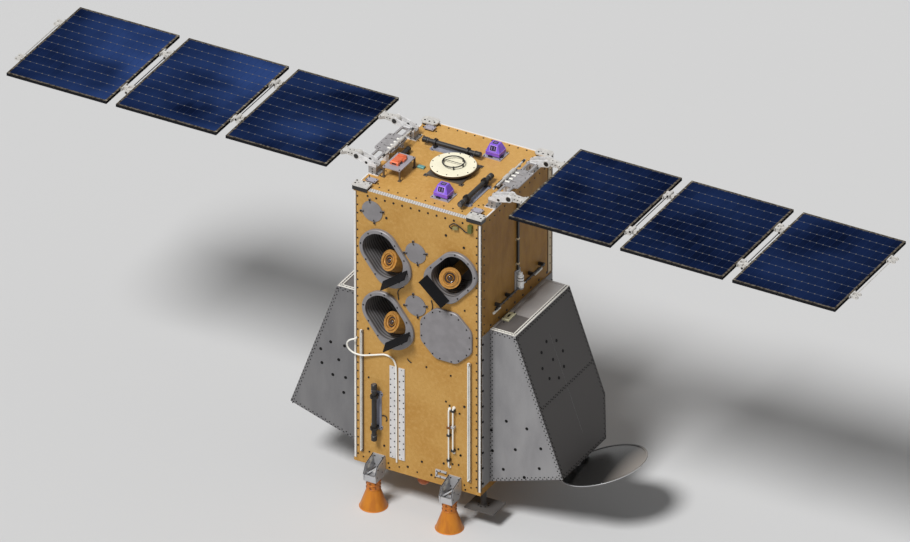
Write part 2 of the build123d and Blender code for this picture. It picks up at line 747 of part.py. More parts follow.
def rod_mount(plane):
    """Base plate with corner tabs and two cradles, each with a clamp ring round the rod."""
    size_x, size_y, thick = rod_plate
    mount = Pos(0, 0, thick / 2) * Box(*rod_plate)
    for sx in (-1, 1):
        for sy in (-1, 1):
            tab = Pos(sx * (size_x / 2 - rod_tab[0]), sy * size_y / 2, thick / 2)
            mount += tab * Box(*rod_tab, thick)
    length, width = rod_cradle
    for s in (-0.5, 0.5):
        x = s * rod_cradle_pitch
        mount += Pos(x, 0, rod_standoff / 2) * Box(length, width, rod_standoff)
        mount += rod((x - length / 2, 0, rod_standoff), (x + length / 2, 0, rod_standoff), rod_ring_radius)
    mount -= rod((-rod_length, 0, rod_standoff), (rod_length, 0, rod_standoff), rod_radius)
    return plane * mount


# ---- deck equipment ------------------------------------------------------------------------------
def table_bracket():
    x, y = table_centre
    size_x, size_y = table_size
    top = deck_z + table_height
    table = Pos(x, y, top - table_thickness / 2) * Box(size_x, size_y, table_thickness)
    for sx in (-1, 1):
        for sy in (-1, 1):
            leg_x = sx * (size_x - table_leg) / 2
            leg_y = sy * (size_y - table_leg) / 2
            leg = Pos(x + leg_x, y + leg_y, deck_z + table_height / 2)
            leg = leg * Box(table_leg, table_leg, table_height)
            foot_box = Box(table_foot, table_foot, table_foot_thickness)
            foot = Pos(x + leg_x, y + leg_y, deck_z + table_foot_thickness / 2) * foot_box
            table += leg + foot
    return table


def red_unit():
    x, y = red_unit_place
    size_x, size_y, size_z = red_unit_size
    box = Pos(x, y, deck_z + table_height + size_z / 2) * Box(size_x, size_y, size_z)
    return chamfer(box.faces().sort_by(Axis.Z)[-1].edges(), red_unit_bevel)


def disc_base_plate():
    size_x, size_y, thick = disc_base
    plate = Pos(0, 0, deck_z + thick / 2) * Box(*disc_base)
    for sx in (-1, 1):
        for sy in (-1, 1):
            tab = Box(disc_base_tab, disc_base_tab, thick / 2)
            plate += Pos(sx * size_x / 2, sy * size_y / 2, deck_z + thick / 4) * tab
    at = Align.CENTER, Align.CENTER, Align.MIN
    pedestal = Cylinder(disc_pedestal_radius, disc_standoff - thick, align=at)
    return plate + Pos(0, 0, deck_z + thick) * pedestal


def disc_antenna():
    at = Align.CENTER, Align.CENTER, Align.MIN
    disc = Pos(0, 0, deck_z + disc_standoff) * Cylinder(disc_radius, disc_thickness, align=at)
    return chamfer(disc.edges().sort_by(Axis.Z)[-1], 3)


def disc_ring():
    """Black wire ring with a cross wire, on four posts that stand on the disc."""
    z = disc_top + disc_ring_lift
    ring = Pos(0, 0, z) * Torus(disc_ring_radius, disc_ring_wire)
    for turn in disc_post_turns:
        x = disc_ring_radius * math.cos(math.radians(turn))
        y = disc_ring_radius * math.sin(math.radians(turn))
        ring += rod((x, y, disc_top), (x, y, z + disc_ring_wire), disc_post_radius)
    return ring + rod((-disc_ring_radius, 0, z), (disc_ring_radius, 0, z), disc_ring_wire / 2)


def sun_sensor(x, y):
    """Bevelled head with a square window recess, wider than the body it stands on."""
    size_x, size_y, size_z = sensor_head
    low = deck_z + sensor_plate[2] + sensor_body[2]
    waist_z = low + sensor_head_straight
    waist = Plane(origin=(x, y, waist_z)) * Rectangle(size_x, size_y)
    top_x, top_y = size_x - 2 * sensor_taper, size_y - 2 * sensor_taper
    top = Plane(origin=(x, y, low + size_z)) * Rectangle(top_x, top_y)
    head = Pos(x, y, (low + waist_z) / 2) * Box(size_x, size_y, sensor_head_straight) + loft([waist, top])
    side, deep = sensor_window
    return head - Pos(x, y, low + size_z) * Box(side, side, 2 * deep)


def sensor_base(x, y):
    size_x, size_y, size_z = sensor_body
    return Pos(x, y, deck_z + sensor_plate[2] + size_z / 2) * Box(size_x, size_y, size_z)


# ---- underside -----------------------------------------------------------------------------------
def patch_antenna():
    x, y, z = patch_place
    plate = Pos(x, y, z) * Box(*patch_size)
    post_x = half_width - 2 * patch_post_radius
    return plate + rod((post_x, y, z), (post_x, y, bottom_z), patch_post_radius)


def bottom_dome():
    x, y = dome_place
    straight = dome_height - dome_radius
    below = Box(4 * dome_radius, 4 * dome_radius, 2 * dome_radius)
    dome = Sphere(dome_radius) & (Pos(0, 0, -dome_radius) * below)
    body = Pos(0, 0, -straight) * dome
    body += rod((0, 0, 0), (0, 0, -straight), dome_radius)
    return Pos(x, y, bottom_z) * body


# ---- release gear, per side ----------------------------------------------------------------------
def side_conduit():
    low, high = conduit_z
    outer = half_width + conduit_height
    return span((half_width, -conduit_width / 2, low), (outer, conduit_width / 2, high))


def release_gear():
    """Upright release unit on a plate on the bus side, with a long rod through it on four clips."""
    thick, width, height = release_plate
    body = Pos(half_width + thick / 2, 0, release_z) * Box(thick, width, height)
    body = chamfer(body.faces().sort_by(Axis.X)[-1].edges(), release_rod_radius / 2)
    radius, length = release_barrel
    x = half_width + thick + radius * 0.85
    low = release_z - height / 2 + release_rod_radius
    at = Align.CENTER, Align.CENTER, Align.MIN
    barrel = Pos(x, 0, low) * Cylinder(radius, length, align=at)
    body += fillet(barrel.edges().filter_by(GeomType.CIRCLE), radius / 3)
    body += Pos(x, 0, low + length - radius / 3) * Cylinder(*release_neck, align=at)
    x = half_width + release_rod_standoff
    bar = rod((x, -release_rod_half, release_rod_z), (x, release_rod_half, release_rod_z), release_rod_radius)
    wide, tall = release_clip
    reach = release_rod_standoff + release_rod_radius
    for s in (-1, 1):
        for y in (s * (release_rod_half - wide), s * release_rod_half / 2):
            bar += Pos(half_width + reach / 2, y, release_rod_z) * Box(reach, wide, tall)
    return body + bar


# ---- wing, per side ------------------------------------------------------------------------------
def panel_edge(number):
    """Inner edge of a panel, counted from the root."""
    return wing_inner + number * (panel_length + panel_gap)


def solar_panel(number):
    x = panel_edge(number)
    half_y, half_t = panel_width / 2, panel_thickness / 2
    panel = span((x, -half_y, wing_z - half_t), (x + panel_length, half_y, wing_z + half_t))
    field = Rectangle(panel_length - 2 * panel_rim, panel_width - 2 * panel_rim)
    field = chamfer(field.vertices(), panel_field_corner)
    middle = Pos(x + panel_length / 2, 0, wing_z + half_t - panel_field_depth)
    return panel - middle * extrude(field, amount=2 * panel_field_depth)


def root_pedestal_x():
    """Low and high x of the pedestals, flush with the bus side."""
    return half_width - root_pedestal[0], half_width


def root_clevis(y):
    """Pedestal on the deck's edge with two ears and a hollow pin."""
    low_x, high_x = root_pedestal_x()
    size_x, size_y, height = root_pedestal
    foot_x, foot_y, foot_z = root_foot
    clevis = span((low_x, y - size_y / 2, deck_z), (high_x, y + size_y / 2, deck_z + height))
    foot = span((high_x - foot_x, y - foot_y / 2, deck_z), (high_x, y + foot_y / 2, deck_z + foot_z))
    for sy in (-1, 1):
        hole = Pos(high_x - foot_x + 9, y + sy * (foot_y / 2 - 9), deck_z)
        foot -= hole * Cylinder(root_foot_hole, 4 * foot_z)
    clevis += foot
    top = deck_z + height
    outline = make_face(Polyline(
        (low_x, top), (high_x, top), (root_x + root_boss_radius * 0.5, wing_z - root_boss_radius * 0.75),
        (root_x, wing_z + root_boss_radius * 0.9), (low_x + 26, top + 34), (low_x, top + 16), close=True))
    ear = extrude(Plane.XZ * outline, amount=root_ear_width / 2, both=True)
    ear += Pos(root_x, 0, wing_z) * Rot(90, 0, 0) * Cylinder(root_boss_radius, root_ear_width)
    hole = Rot(90, 0, 0) * Cylinder(root_ear_hole, 4 * root_ear_width)
    ear -= Pos((low_x + root_x) / 2, 0, top + 17) * hole
    reach = root_arm_width / 2 + hinge_play + root_ear_width / 2
    for k in (-1, 1):
        clevis += Pos(0, y + k * reach, 0) * ear
    end = reach + root_ear_width / 2
    clevis += rod((root_x, y - end, wing_z), (root_x, y + end, wing_z), root_pin_radius)
    return clevis - rod((root_x, y - 2 * end, wing_z), (root_x, y + 2 * end, wing_z), root_pin_bore)


def cartridge_places():
    """Middles of the four cartridges in the yoke."""
    x = yoke_middle[0] + cartridge_inset + cartridge_length / 2
    z = deck_z + (yoke_z[0] + yoke_z[1]) / 2
    return [(x, (k - 1.5) * cartridge_pitch, z) for k in range(4)]


def yoke():
    """Plate that ties the two clevises, with curved necks, slots and two webs down to the deck."""
    low_z, high_z = deck_z + yoke_z[0], deck_z + yoke_z[1]
    low_x, high_x, half = yoke_middle
    end = hinge_y - root_arm_width / 2 - hinge_play - root_ear_width
    outline = Pos((low_x + high_x) / 2, 0) * Rectangle(high_x - low_x, 2 * half)
    outline += Pos((yoke_neck[0] + yoke_neck[1]) / 2, 0) * Rectangle(yoke_neck[1] - yoke_neck[0], 2 * end)
    plate = Pos(0, 0, low_z) * extrude(outline, amount=high_z - low_z)
    corners = [e for e in plate.edges().filter_by(Axis.Z) if abs(e.center().Y) < end - 1]
    plate = fillet(corners, yoke_fillet)
    for s in (-1, 1):
        x = yoke_neck[1] - yoke_slot[0] / 2 - 12
        plate -= Pos(x, s * half * 0.45, low_z) * Box(*yoke_slot, 4 * (high_z - low_z))
    near, far = half + yoke_window_end, end - yoke_window_end
    window = Rectangle(yoke_neck[1] - yoke_neck[0] - 2 * yoke_bar, far - near)
    window = extrude(fillet(window.vertices(), yoke_fillet / 2), amount=4 * (high_z - low_z), both=True)
    for s in (-1, 1):
        plate -= Pos((yoke_neck[0] + yoke_neck[1]) / 2, s * (near + far) / 2, low_z) * window
    for x, y, z in cartridge_places():
        plate -= Pos(x, y, z) * Box(cartridge_length, 2 * cartridge_radius, 4 * (high_z - low_z))
    for s in (-1, 1):
        y = s * (half - yoke_web / 2)
        plate += span((half_width - 40, y - yoke_web / 2, deck_z), (half_width, y + yoke_web / 2, low_z))
    return plate


def root_bracket():
    """Two clevises on the deck's edge and the yoke between them."""
    return root_clevis(-hinge_y) + root_clevis(hinge_y) + yoke()


def root_cartridges():
    return [rod((x - cartridge_length / 2, y, z), (x + cartridge_length / 2, y, z), cartridge_radius)
            for x, y, z in cartridge_places()]


def root_damper():
    """Black damper on two blocks on the deck, inside the yoke."""
    z = deck_z + damper_lift
    half = damper_length / 2
    damper = rod((damper_x, -half, z), (damper_x, half, z), damper_radius)
    damper = chamfer(damper.edges().filter_by(GeomType.CIRCLE), 3)
    size_x, size_y = damper_block
    for s in (-1, 1):
        y = s * (half - size_y)
        damper += Pos(damper_x, y, (deck_z + z) / 2) * Box(size_x, size_y, z - deck_z)
    return damper


def root_arms():
    """Arms from the root hinge to the first panel, with flared ends and lightening holes."""
    shoe_x, shoe_y = arm_shoe
    half_arm = root_arm_width / 2
    low, high = arm_tip_height / 2, arm_root_height / 2
    start = wing_inner - arm_flare
    arms = []
    for s in (-1, 1):
        outline = make_face(Polyline(
            (root_x, wing_z - high), (wing_inner, wing_z - low),
            (wing_inner, wing_z + low), (root_x, wing_z + high), close=True))
        arm = extrude(Plane.XZ * outline, amount=half_arm, both=True)
        arm += Pos(root_x, 0, wing_z) * Rot(90, 0, 0) * Cylinder(root_boss_radius, root_arm_width)
        flare = make_face(Polyline(
            (start, -half_arm), (wing_inner - shoe_x, -shoe_y / 2), (wing_inner, -shoe_y / 2),
            (wing_inner, shoe_y / 2), (wing_inner - shoe_x, shoe_y / 2), (start, half_arm), close=True))
        arm += Pos(0, 0, wing_z - low) * extrude(flare, amount=arm_tip_height)
        bore = Rot(90, 0, 0) * Cylinder(root_pin_radius + hinge_clearance, 3 * root_arm_width)
        arm -= Pos(root_x, 0, wing_z) * bore
        for share in arm_hole_shares:
            x = root_x + root_boss_radius + share * (start - root_x - root_boss_radius)
            arm -= Pos(x, 0, wing_z) * Rot(90, 0, 0) * Cylinder(arm_hole_radius, 3 * root_arm_width)
        arms.append(Pos(0, s * hinge_y, 0) * arm)
    return arms


def fold_half(edge, outward, side, centre):
    """Hinge halves on one panel edge. outward: +1 or -1 from the edge to the axis.
    side: +1 above or -1 below the mid-plane. centre: the half with the single lug and the pin."""
    axis_x = edge + outward * panel_gap / 2
    axis_z = wing_z + side * fold_offset
    half_t = panel_thickness / 2
    shoe_x, shoe_y = fold_shoe
    halves = []
    for s in (-1, 1):
        xs = sorted((edge, edge + outward * shoe_x))
        half = span((xs[0], -shoe_y / 2, wing_z - half_t), (xs[1], shoe_y / 2, wing_z + half_t))
        places = (0.0,) if centre else (-fold_lug - hinge_play, fold_lug + hinge_play)
        for place in places:
            lug_xs = sorted((edge, axis_x))
            zs = sorted((wing_z - side * half_t, axis_z))
            lug = span((lug_xs[0], place - fold_lug / 2, zs[0]), (lug_xs[1], place + fold_lug / 2, zs[1]))
            lug += Pos(axis_x, place, axis_z) * Rot(90, 0, 0) * Cylinder(fold_boss_radius, fold_lug)
            half += lug
        reach = fold_lug * 1.5 + hinge_play
        if centre:
            half += rod((axis_x, -reach, axis_z), (axis_x, reach, axis_z), fold_pin_radius)
        else:
            bore = fold_pin_radius + hinge_clearance
            half -= rod((axis_x, -2 * reach, axis_z), (axis_x, 2 * reach, axis_z), bore)
        halves.append(Pos(0, s * hinge_y, 0) * half)
    return halves


def tip_lugs():
    """Two eared lugs at the wing's tip and the thin rod that runs through them."""
    edge = panel_edge(panel_count - 1) + panel_length
    half_t = panel_thickness / 2
    eye_x = edge + tip_lug_reach - tip_lug_width / 2
    lugs = None
    for s in (-1, 1):
        shoe_x, shoe_y = fold_shoe
        lug = span((edge, -shoe_y / 2, wing_z - half_t), (edge + shoe_x, shoe_y / 2, wing_z + half_t))
        for k in (-1, 1):
            ear = span((edge, -5, wing_z - half_t), (eye_x, 5, wing_z + half_t))
            ear += Pos(eye_x, 0, wing_z) * Rot(90, 0, 0) * Cylinder(tip_lug_width / 2, 10)
            lug += Pos(0, k * 18, 0) * ear
        lug -= rod((eye_x, -60, wing_z), (eye_x, 60, wing_z), tip_lug_hole_radius)
        lug = Pos(0, s * hinge_y, 0) * lug
        lugs = lug if lugs is None else lugs + lug
    x = edge + tip_rod_reach
    return [lugs + rod((x, -hinge_y, wing_z), (x, hinge_y, wing_z), tip_rod_radius)]


# ---- write every node ----------------------------------------------------------------------------
os.makedirs("parts", exist_ok=True)

save("corner_posts", *bus_posts())
save("front_panel", front_panel())
save("rear_panel", bus_panel(half_width, half_depth, along_x=True))
save("right_panel", bus_panel(half_depth, half_width, along_x=False))
save("left_panel", bus_panel(half_depth, -half_width, along_x=False))
save("top_deck", span((-half_width, -half_depth, deck_z - bus_wall), (half_width, half_depth, deck_z)))
floor_z = bottom_z + bus_wall
save("bottom_deck", span((-half_width, -half_depth, bottom_z), (half_width, half_depth, floor_z)))
save("edge_strips", *edge_strips())
save("corner_fittings", *corner_fittings())
save("corner_blocks", *corner_blocks())
save("deck_plates", disc_base_plate(), *deck_plates())
save("adapter_ring", adapter_ring())

housing = side_housing()
save("side_housings", housing, mirror(housing, about=MIRROR))
cap = housing_cap() + cap_bracket()
save("housing_caps", cap, mirror(cap, about=MIRROR))
save("dish", dish())
save("dish_mount", dish_mount())

corners = [(sx, sy) for sx in (-1, 1) for sy in (-1, 1)]
save("nozzles", *[nozzle(sx * nozzle_x, sy * (half_depth + nozzle_offset)) for sx, sy in corners])
save("nozzle_brackets", *[nozzle_bracket(sx * nozzle_x, sy) for sx, sy in corners], strap())

save("camera_cups", *[cup(*place) for place in cup_places])
save("camera_units", *[camera_unit(*place) for place in cup_places])
save("shade_plates", *[shade(*place) for place in cup_places])
save("face_covers", large_cover(), *[round_cover(*place) for place in cover_places])
save("front_rails", *front_rails())
save("perforated_strips", *perforated_strips())
save("feed_tubes", *[feed_tube(*tube) for tube in feed_tubes])
save("front_cable", front_cable())
save("connector_loop", connector_loop())

save("torque_rods", *[torque_rod(plane) for plane in rod_planes])
save("rod_mounts", *[rod_mount(plane) for plane in rod_planes])
save("table_bracket", table_bracket())
save("red_unit", red_unit())
save("disc_antenna", disc_antenna())
save("disc_ring", disc_ring())
save("sun_sensors", *[sun_sensor(*place) for place in sensor_places])
save("sensor_bodies", *[sensor_base(*place) for place in sensor_places])
save("patch_antenna", patch_antenna())
save("bottom_dome", bottom_dome())

conduit = side_conduit()
release = release_gear()
save("side_conduits", conduit, mirror(conduit, about=MIRROR))
save("release_gear", release, mirror(release, about=MIRROR))

bracket, damper, cartridges = root_bracket(), root_damper(), root_cartridges()
save("root_brackets", bracket, mirror(bracket, about=MIRROR))
save("root_dampers", damper, mirror(damper, about=MIRROR))
save("root_cartridges", *cartridges, *[mirror(piece, about=MIRROR) for piece in cartridges])
both_sides("root_arms", *root_arms())
for number in range(panel_count):
    both_sides(f"solar_panel_{number + 1}", solar_panel(number))
edges = [(panel_edge(n), panel_edge(n) + panel_length) for n in range(panel_count)]
both_sides("hinge_lugs_1", *fold_half(edges[0][1], 1, 1, False))
both_sides("hinge_lugs_2", *fold_half(edges[1][0], -1, 1, True), *fold_half(edges[1][1], 1, -1, False))
both_sides("hinge_lugs_3", *fold_half(edges[2][0], -1, -1, True), *tip_lugs())
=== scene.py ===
import math
import json

import bpy
import bmesh
from mathutils import Matrix, Vector


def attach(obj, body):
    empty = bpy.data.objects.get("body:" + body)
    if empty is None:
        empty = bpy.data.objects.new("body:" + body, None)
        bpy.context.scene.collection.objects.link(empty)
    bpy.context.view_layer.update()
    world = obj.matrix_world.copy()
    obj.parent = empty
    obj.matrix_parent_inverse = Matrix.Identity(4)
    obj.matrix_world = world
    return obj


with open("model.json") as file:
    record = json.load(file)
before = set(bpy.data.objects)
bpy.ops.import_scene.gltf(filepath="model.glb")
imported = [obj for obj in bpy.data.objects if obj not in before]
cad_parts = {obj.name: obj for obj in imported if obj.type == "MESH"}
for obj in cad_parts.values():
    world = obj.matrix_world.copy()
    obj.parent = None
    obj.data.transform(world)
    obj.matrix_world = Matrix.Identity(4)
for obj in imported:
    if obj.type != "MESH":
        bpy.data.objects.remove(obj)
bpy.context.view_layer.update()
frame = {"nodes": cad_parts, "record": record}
print("frame loaded:", len(frame["nodes"]), "nodes")

white = (1.0, 1.0, 1.0, 1.0)
up, front = (0, 0, 1), (0, -1, 0)
pair = (-1, 1)
corners = [(i, j) for i in pair for j in pair]
sideName = {-1: "left", 1: "right"}
made = {}       # every material by the name of its finish


# how nodes and materials are built
def tint(red, green, blue):
    # screen values 0 to 255 to the linear colour that the shader takes
    linear = [v / 255 / 12.92 if v <= 10 else ((v / 255 + 0.055) / 1.055) ** 2.4 for v in (red, green, blue)]
    return (*linear, 1.0)


def shade(colour, share):
    return (*[min(1.0, c * share) for c in colour[:3]], 1.0)


def newMaterial(name, metallic=0.0, specular=0.5):
    made[name] = bpy.data.materials.new(name)
    made[name].use_nodes = True
    shader = made[name].node_tree.nodes["Principled BSDF"]
    shader.inputs["Metallic"].default_value = metallic
    shader.inputs["Specular IOR Level"].default_value = specular
    return shader


def add(near, kind, inputs=None, **settings):
    # a node in the tree that the near socket or node is in; gives back its outputs
    tree = near.id_data
    node = tree.nodes.new(kind)
    for key, value in settings.items():
        setattr(node, key, value)
    for key, value in (inputs or {}).items():
        if isinstance(value, bpy.types.NodeSocket):
            tree.links.new(value, node.inputs[key])
        else:
            node.inputs[key].default_value = value
    return node.outputs


def calc(operation, *values):
    near = next(v for v in values if isinstance(v, bpy.types.NodeSocket))
    return add(near, "ShaderNodeMath", dict(enumerate(values)), operation=operation)[0]


def plus(first, *others):
    for other in others:
        first = calc("ADD", first, other)
    return first


def times(first, *others):
    for other in others:
        first = calc("MULTIPLY", first, other)
    return first


def minus(first, second):
    return calc("SUBTRACT", first, second)


def larger(first, second):
    return calc("MAXIMUM", first, second)


def above(value, limit):
    return calc("GREATER_THAN", value, limit)


def below(value, limit):
    return calc("LESS_THAN", value, limit)


def outward(value):
    # distance from the middle plane
    return calc("ABSOLUTE", value)


def ridges(value, pitch):
    # 0 on each line and 0.5 halfway to the next
    return calc("PINGPONG", calc("DIVIDE", value, pitch), 0.5)


def vector(operation, inputs):
    return add(inputs[0], "ShaderNodeVectorMath", inputs, operation=operation)


def blend(factor, low, high):
    return add(factor, "ShaderNodeMix", {0: factor, 6: low, 7: high}, data_type="RGBA")[2]


def ramp(value, low, high, toLow=0.0, toHigh=1.0):
    inputs = {"Value": value, "From Min": low, "From Max": high, "To Min": toLow, "To Max": toHigh}
    return add(value, "ShaderNodeMapRange", inputs)[0]


def cloud(where, scale, detail=3.0, stretch=None):
    if stretch:
        where = add(where, "ShaderNodeMapping", {"Vector": where, "Scale": stretch})[0]
    return add(where, "ShaderNodeTexNoise", {"Vector": where, "Scale": scale, "Detail": detail})[0]


def spot(shader):
    # object coordinates and their three parts
    where = add(shader, "ShaderNodeTexCoord")["Object"]
    return (where, *add(shader, "ShaderNodeSeparateXYZ", {0: where}).values())


def facing(shader):
    # the three parts of the direction that a face looks in
    return add(shader, "ShaderNodeSeparateXYZ", {0: add(shader, "ShaderNodeTexCoord")["Normal"]})


def inside(place, limits):
    # 1 within a box; limits give a low and a high value for x, y or z,
    # or for outX or outY, the distances from the middle planes
    mask = None
    for key, (low, high) in limits.items():
        part = place["xyz".index(key[-1].lower())]
        if key in ("outX", "outY"):
            part = outward(part)
        near = calc("COMPARE", part, (low + high) / 2, (high - low) / 2)
        mask = near if mask is None else times(mask, near)
    return mask


def finish(shader, colour, gloss, height=None, strength=0.0, distance=0.0, invert=False):
    # colour, roughness and relief
    sockets = {"Base Color": colour, "Roughness": gloss}
    if height:
        relief = {"Height": height, "Strength": strength, "Distance": distance}
        sockets["Normal"] = add(shader, "ShaderNodeBump", relief, invert=invert)[0]
    for key, value in sockets.items():
        shader.id_data.links.new(value, shader.inputs[key])


# camera and light
shot = {
    "turn": 29.0,          # degrees round from the front, towards the +X side
    "rise": 31.17,         # degrees above level
    "aim": (0.0098, 0.0, 1.336),
    "distance": 125.4,
    "lens": 899.5,
    "sensor": 36.0,
    "farthest": 400.0,
}
studio = {
    "sunFrom": (-0.10, -0.56, 0.82),
    "sunStrength": 3.1,
    "sunSoftness": 0.30,   # radians
    "fill": 0.24,          # world light that falls on the object
    "backdrop": 0.90,      # what the camera, metal and glass see past the floor
    "floorTone": 0.62,
    "floorHalf": 60.0,
}


def link(name, data):
    thing = bpy.data.objects.new(name, data)
    bpy.context.scene.collection.objects.link(thing)
    return thing


def placeCamera():
    turn = math.radians(shot["turn"])
    rise = math.radians(shot["rise"])
    away = Vector((math.sin(turn) * math.cos(rise), -math.cos(turn) * math.cos(rise), math.sin(rise)))
    data = bpy.data.cameras.new("shotCamera")
    data.lens = shot["lens"]
    data.sensor_width = shot["sensor"]
    data.clip_end = shot["farthest"]
    camera = link("shotCamera", data)
    camera.location = Vector(shot["aim"]) + away * shot["distance"]
    camera.rotation_euler = away.to_track_quat("Z", "Y").to_euler()
    bpy.context.scene.camera = camera


def lightStudio():
    sun = bpy.data.lights.new("keySun", "SUN")
    sun.energy = studio["sunStrength"]
    sun.angle = studio["sunSoftness"]
    link("keySun", sun).rotation_euler = Vector(studio["sunFrom"]).to_track_quat("Z", "Y").to_euler()
    world = bpy.data.worlds.new("paleStudio")
    world.use_nodes = True
    bpy.context.scene.world = world
    tree = world.node_tree
    fill = tree.nodes["Background"]
    fill.inputs["Strength"].default_value = studio["fill"]
    fill.inputs["Color"].default_value = white
    seen = add(fill, "ShaderNodeBackground", {"Strength": studio["backdrop"]})[0]
    path = add(fill, "ShaderNodeLightPath")
    either = larger(larger(path["Is Camera Ray"], path["Is Glossy Ray"]), path["Is Transmission Ray"])
    mix = add(fill, "ShaderNodeMixShader", {0: either, 1: fill.outputs[0], 2: seen})[0]
    tree.links.new(mix, tree.nodes["World Output"].inputs["Surface"])


placeCamera()
lightStudio()
bpy.context.scene.view_settings.view_transform = "Standard"

# finishes of their own
goldFilm = {
    "colour": tint(190, 147, 80), "warm": tint(178, 132, 64), "pale": tint(202, 162, 98),
    "dim": tint(146, 104, 50),
    "sideStart": 0.3995, "sideShadeTint": (0.66, 0.60, 0.42, 1.0),     # painted shade: the film is darker and browner on the sides
    "deckStart": 1.9745, "deckLightTint": (1.22, 1.22, 1.26, 1.0),     # and painted light: a paler film on the deck
    "crease": 11.0, "grain": 170.0, "fine": 46.0, "broad": 3.2, "drape": 15.0, "drift": (5.0, 0.10),
    "metallic": 0.12, "specular": 0.22, "gloss": (0.44, 0.60), "relief": (0.22, 0.0015),
}


def paintFilm():
    # thin golden film laid over the sandwich panels: mottled, with faint upright creases on the sides that
    # hold painted shade; painted shade over the sides and painted light over the deck
    g = goldFilm
    shader = newMaterial("goldFilm", g["metallic"], g["specular"])
    where, x, y, z = spot(shader)
    fine = cloud(where, g["fine"], 5.0)
    grain = cloud(where, g["grain"])
    film = blend(ramp(cloud(where, g["broad"], 4.0), 0.42, 0.68), g["colour"], g["warm"])
    film = blend(ramp(fine, 0.45, 0.75, 0.0, 0.60), film, g["pale"])
    film = blend(ramp(grain, 0.30, 0.42, 0.40, 0.0), film, g["dim"])
    onSide = above(outward(x), g["sideStart"])
    # painted shade in the upright creases on the sides
    drape = cloud(where, g["drape"], 5.0, (1.0, 1.0, 0.42))
    film = blend(times(onSide, ramp(drape, 0.42, 0.64, 0.0, 0.45)), film, g["dim"])
    # painted shade darkens the sides and painted light brightens the deck
    share = blend(above(z, g["deckStart"]), blend(onSide, white, g["sideShadeTint"]), g["deckLightTint"])
    driftScale, driftShare = g["drift"]
    drift = add(shader, "ShaderNodeTexNoise", {"Vector": where, "Scale": driftScale})[1]
    warp = vector("ADD", {0: where, 1: vector("SCALE", {0: drift, "Scale": driftShare})[0]})[0]
    cells = add(shader, "ShaderNodeTexVoronoi", {"Vector": warp, "Scale": g["crease"]},
                feature="DISTANCE_TO_EDGE")[0]
    height = plus(times(ramp(cells, 0.0, 0.05), 0.25), times(fine, 0.8), times(grain, 0.35),
                  times(onSide, drape, 1.4))
    film = vector("MULTIPLY", {0: film, 1: share})[0]
    finish(shader, film, ramp(fine, 0.3, 0.7, *g["gloss"]), height, *g["relief"])


wingField = {
    "firstEdge": 0.572,    # inner edge of the first panel, from the middle
    "panelPitch": 0.696, "rim": 0.012,
    "length": 0.612, "width": 0.796, "columns": 15, "rows": 10,
    "lineHalf": 0.0018,
    "diamond": 0.0052,     # bare corner between four cells
    "topHeight": 2.0672,   # above this the panel's upper side starts
    "cell": tint(13, 25, 55), "cellDeep": tint(7, 15, 37), "cellSheen": tint(52, 78, 136),
    "line": tint(78, 86, 104), "column": tint(32, 46, 84), "bare": tint(112, 109, 103),
    "rimTone": tint(112, 105, 94), "rimDark": tint(54, 49, 43), "tab": tint(156, 150, 136), "tabHalf": 0.0034,
    "carbon": tint(30, 30, 33), "tape": tint(120, 84, 34), "tapeHalf": 0.009,
    "tapeY": 0.145, "tapeX": 0.08,          # from the middle, and from the inner edge of the cells
    "lots": 1.43, "fingers": 420.0,         # panels per metre for the cells' tones, fine lines per metre
    "sheen": 2.3, "scuffs": 60.0, "weave": 700.0, "gloss": (0.55, 0.24), "relief": (0.4, 0.0006),
}


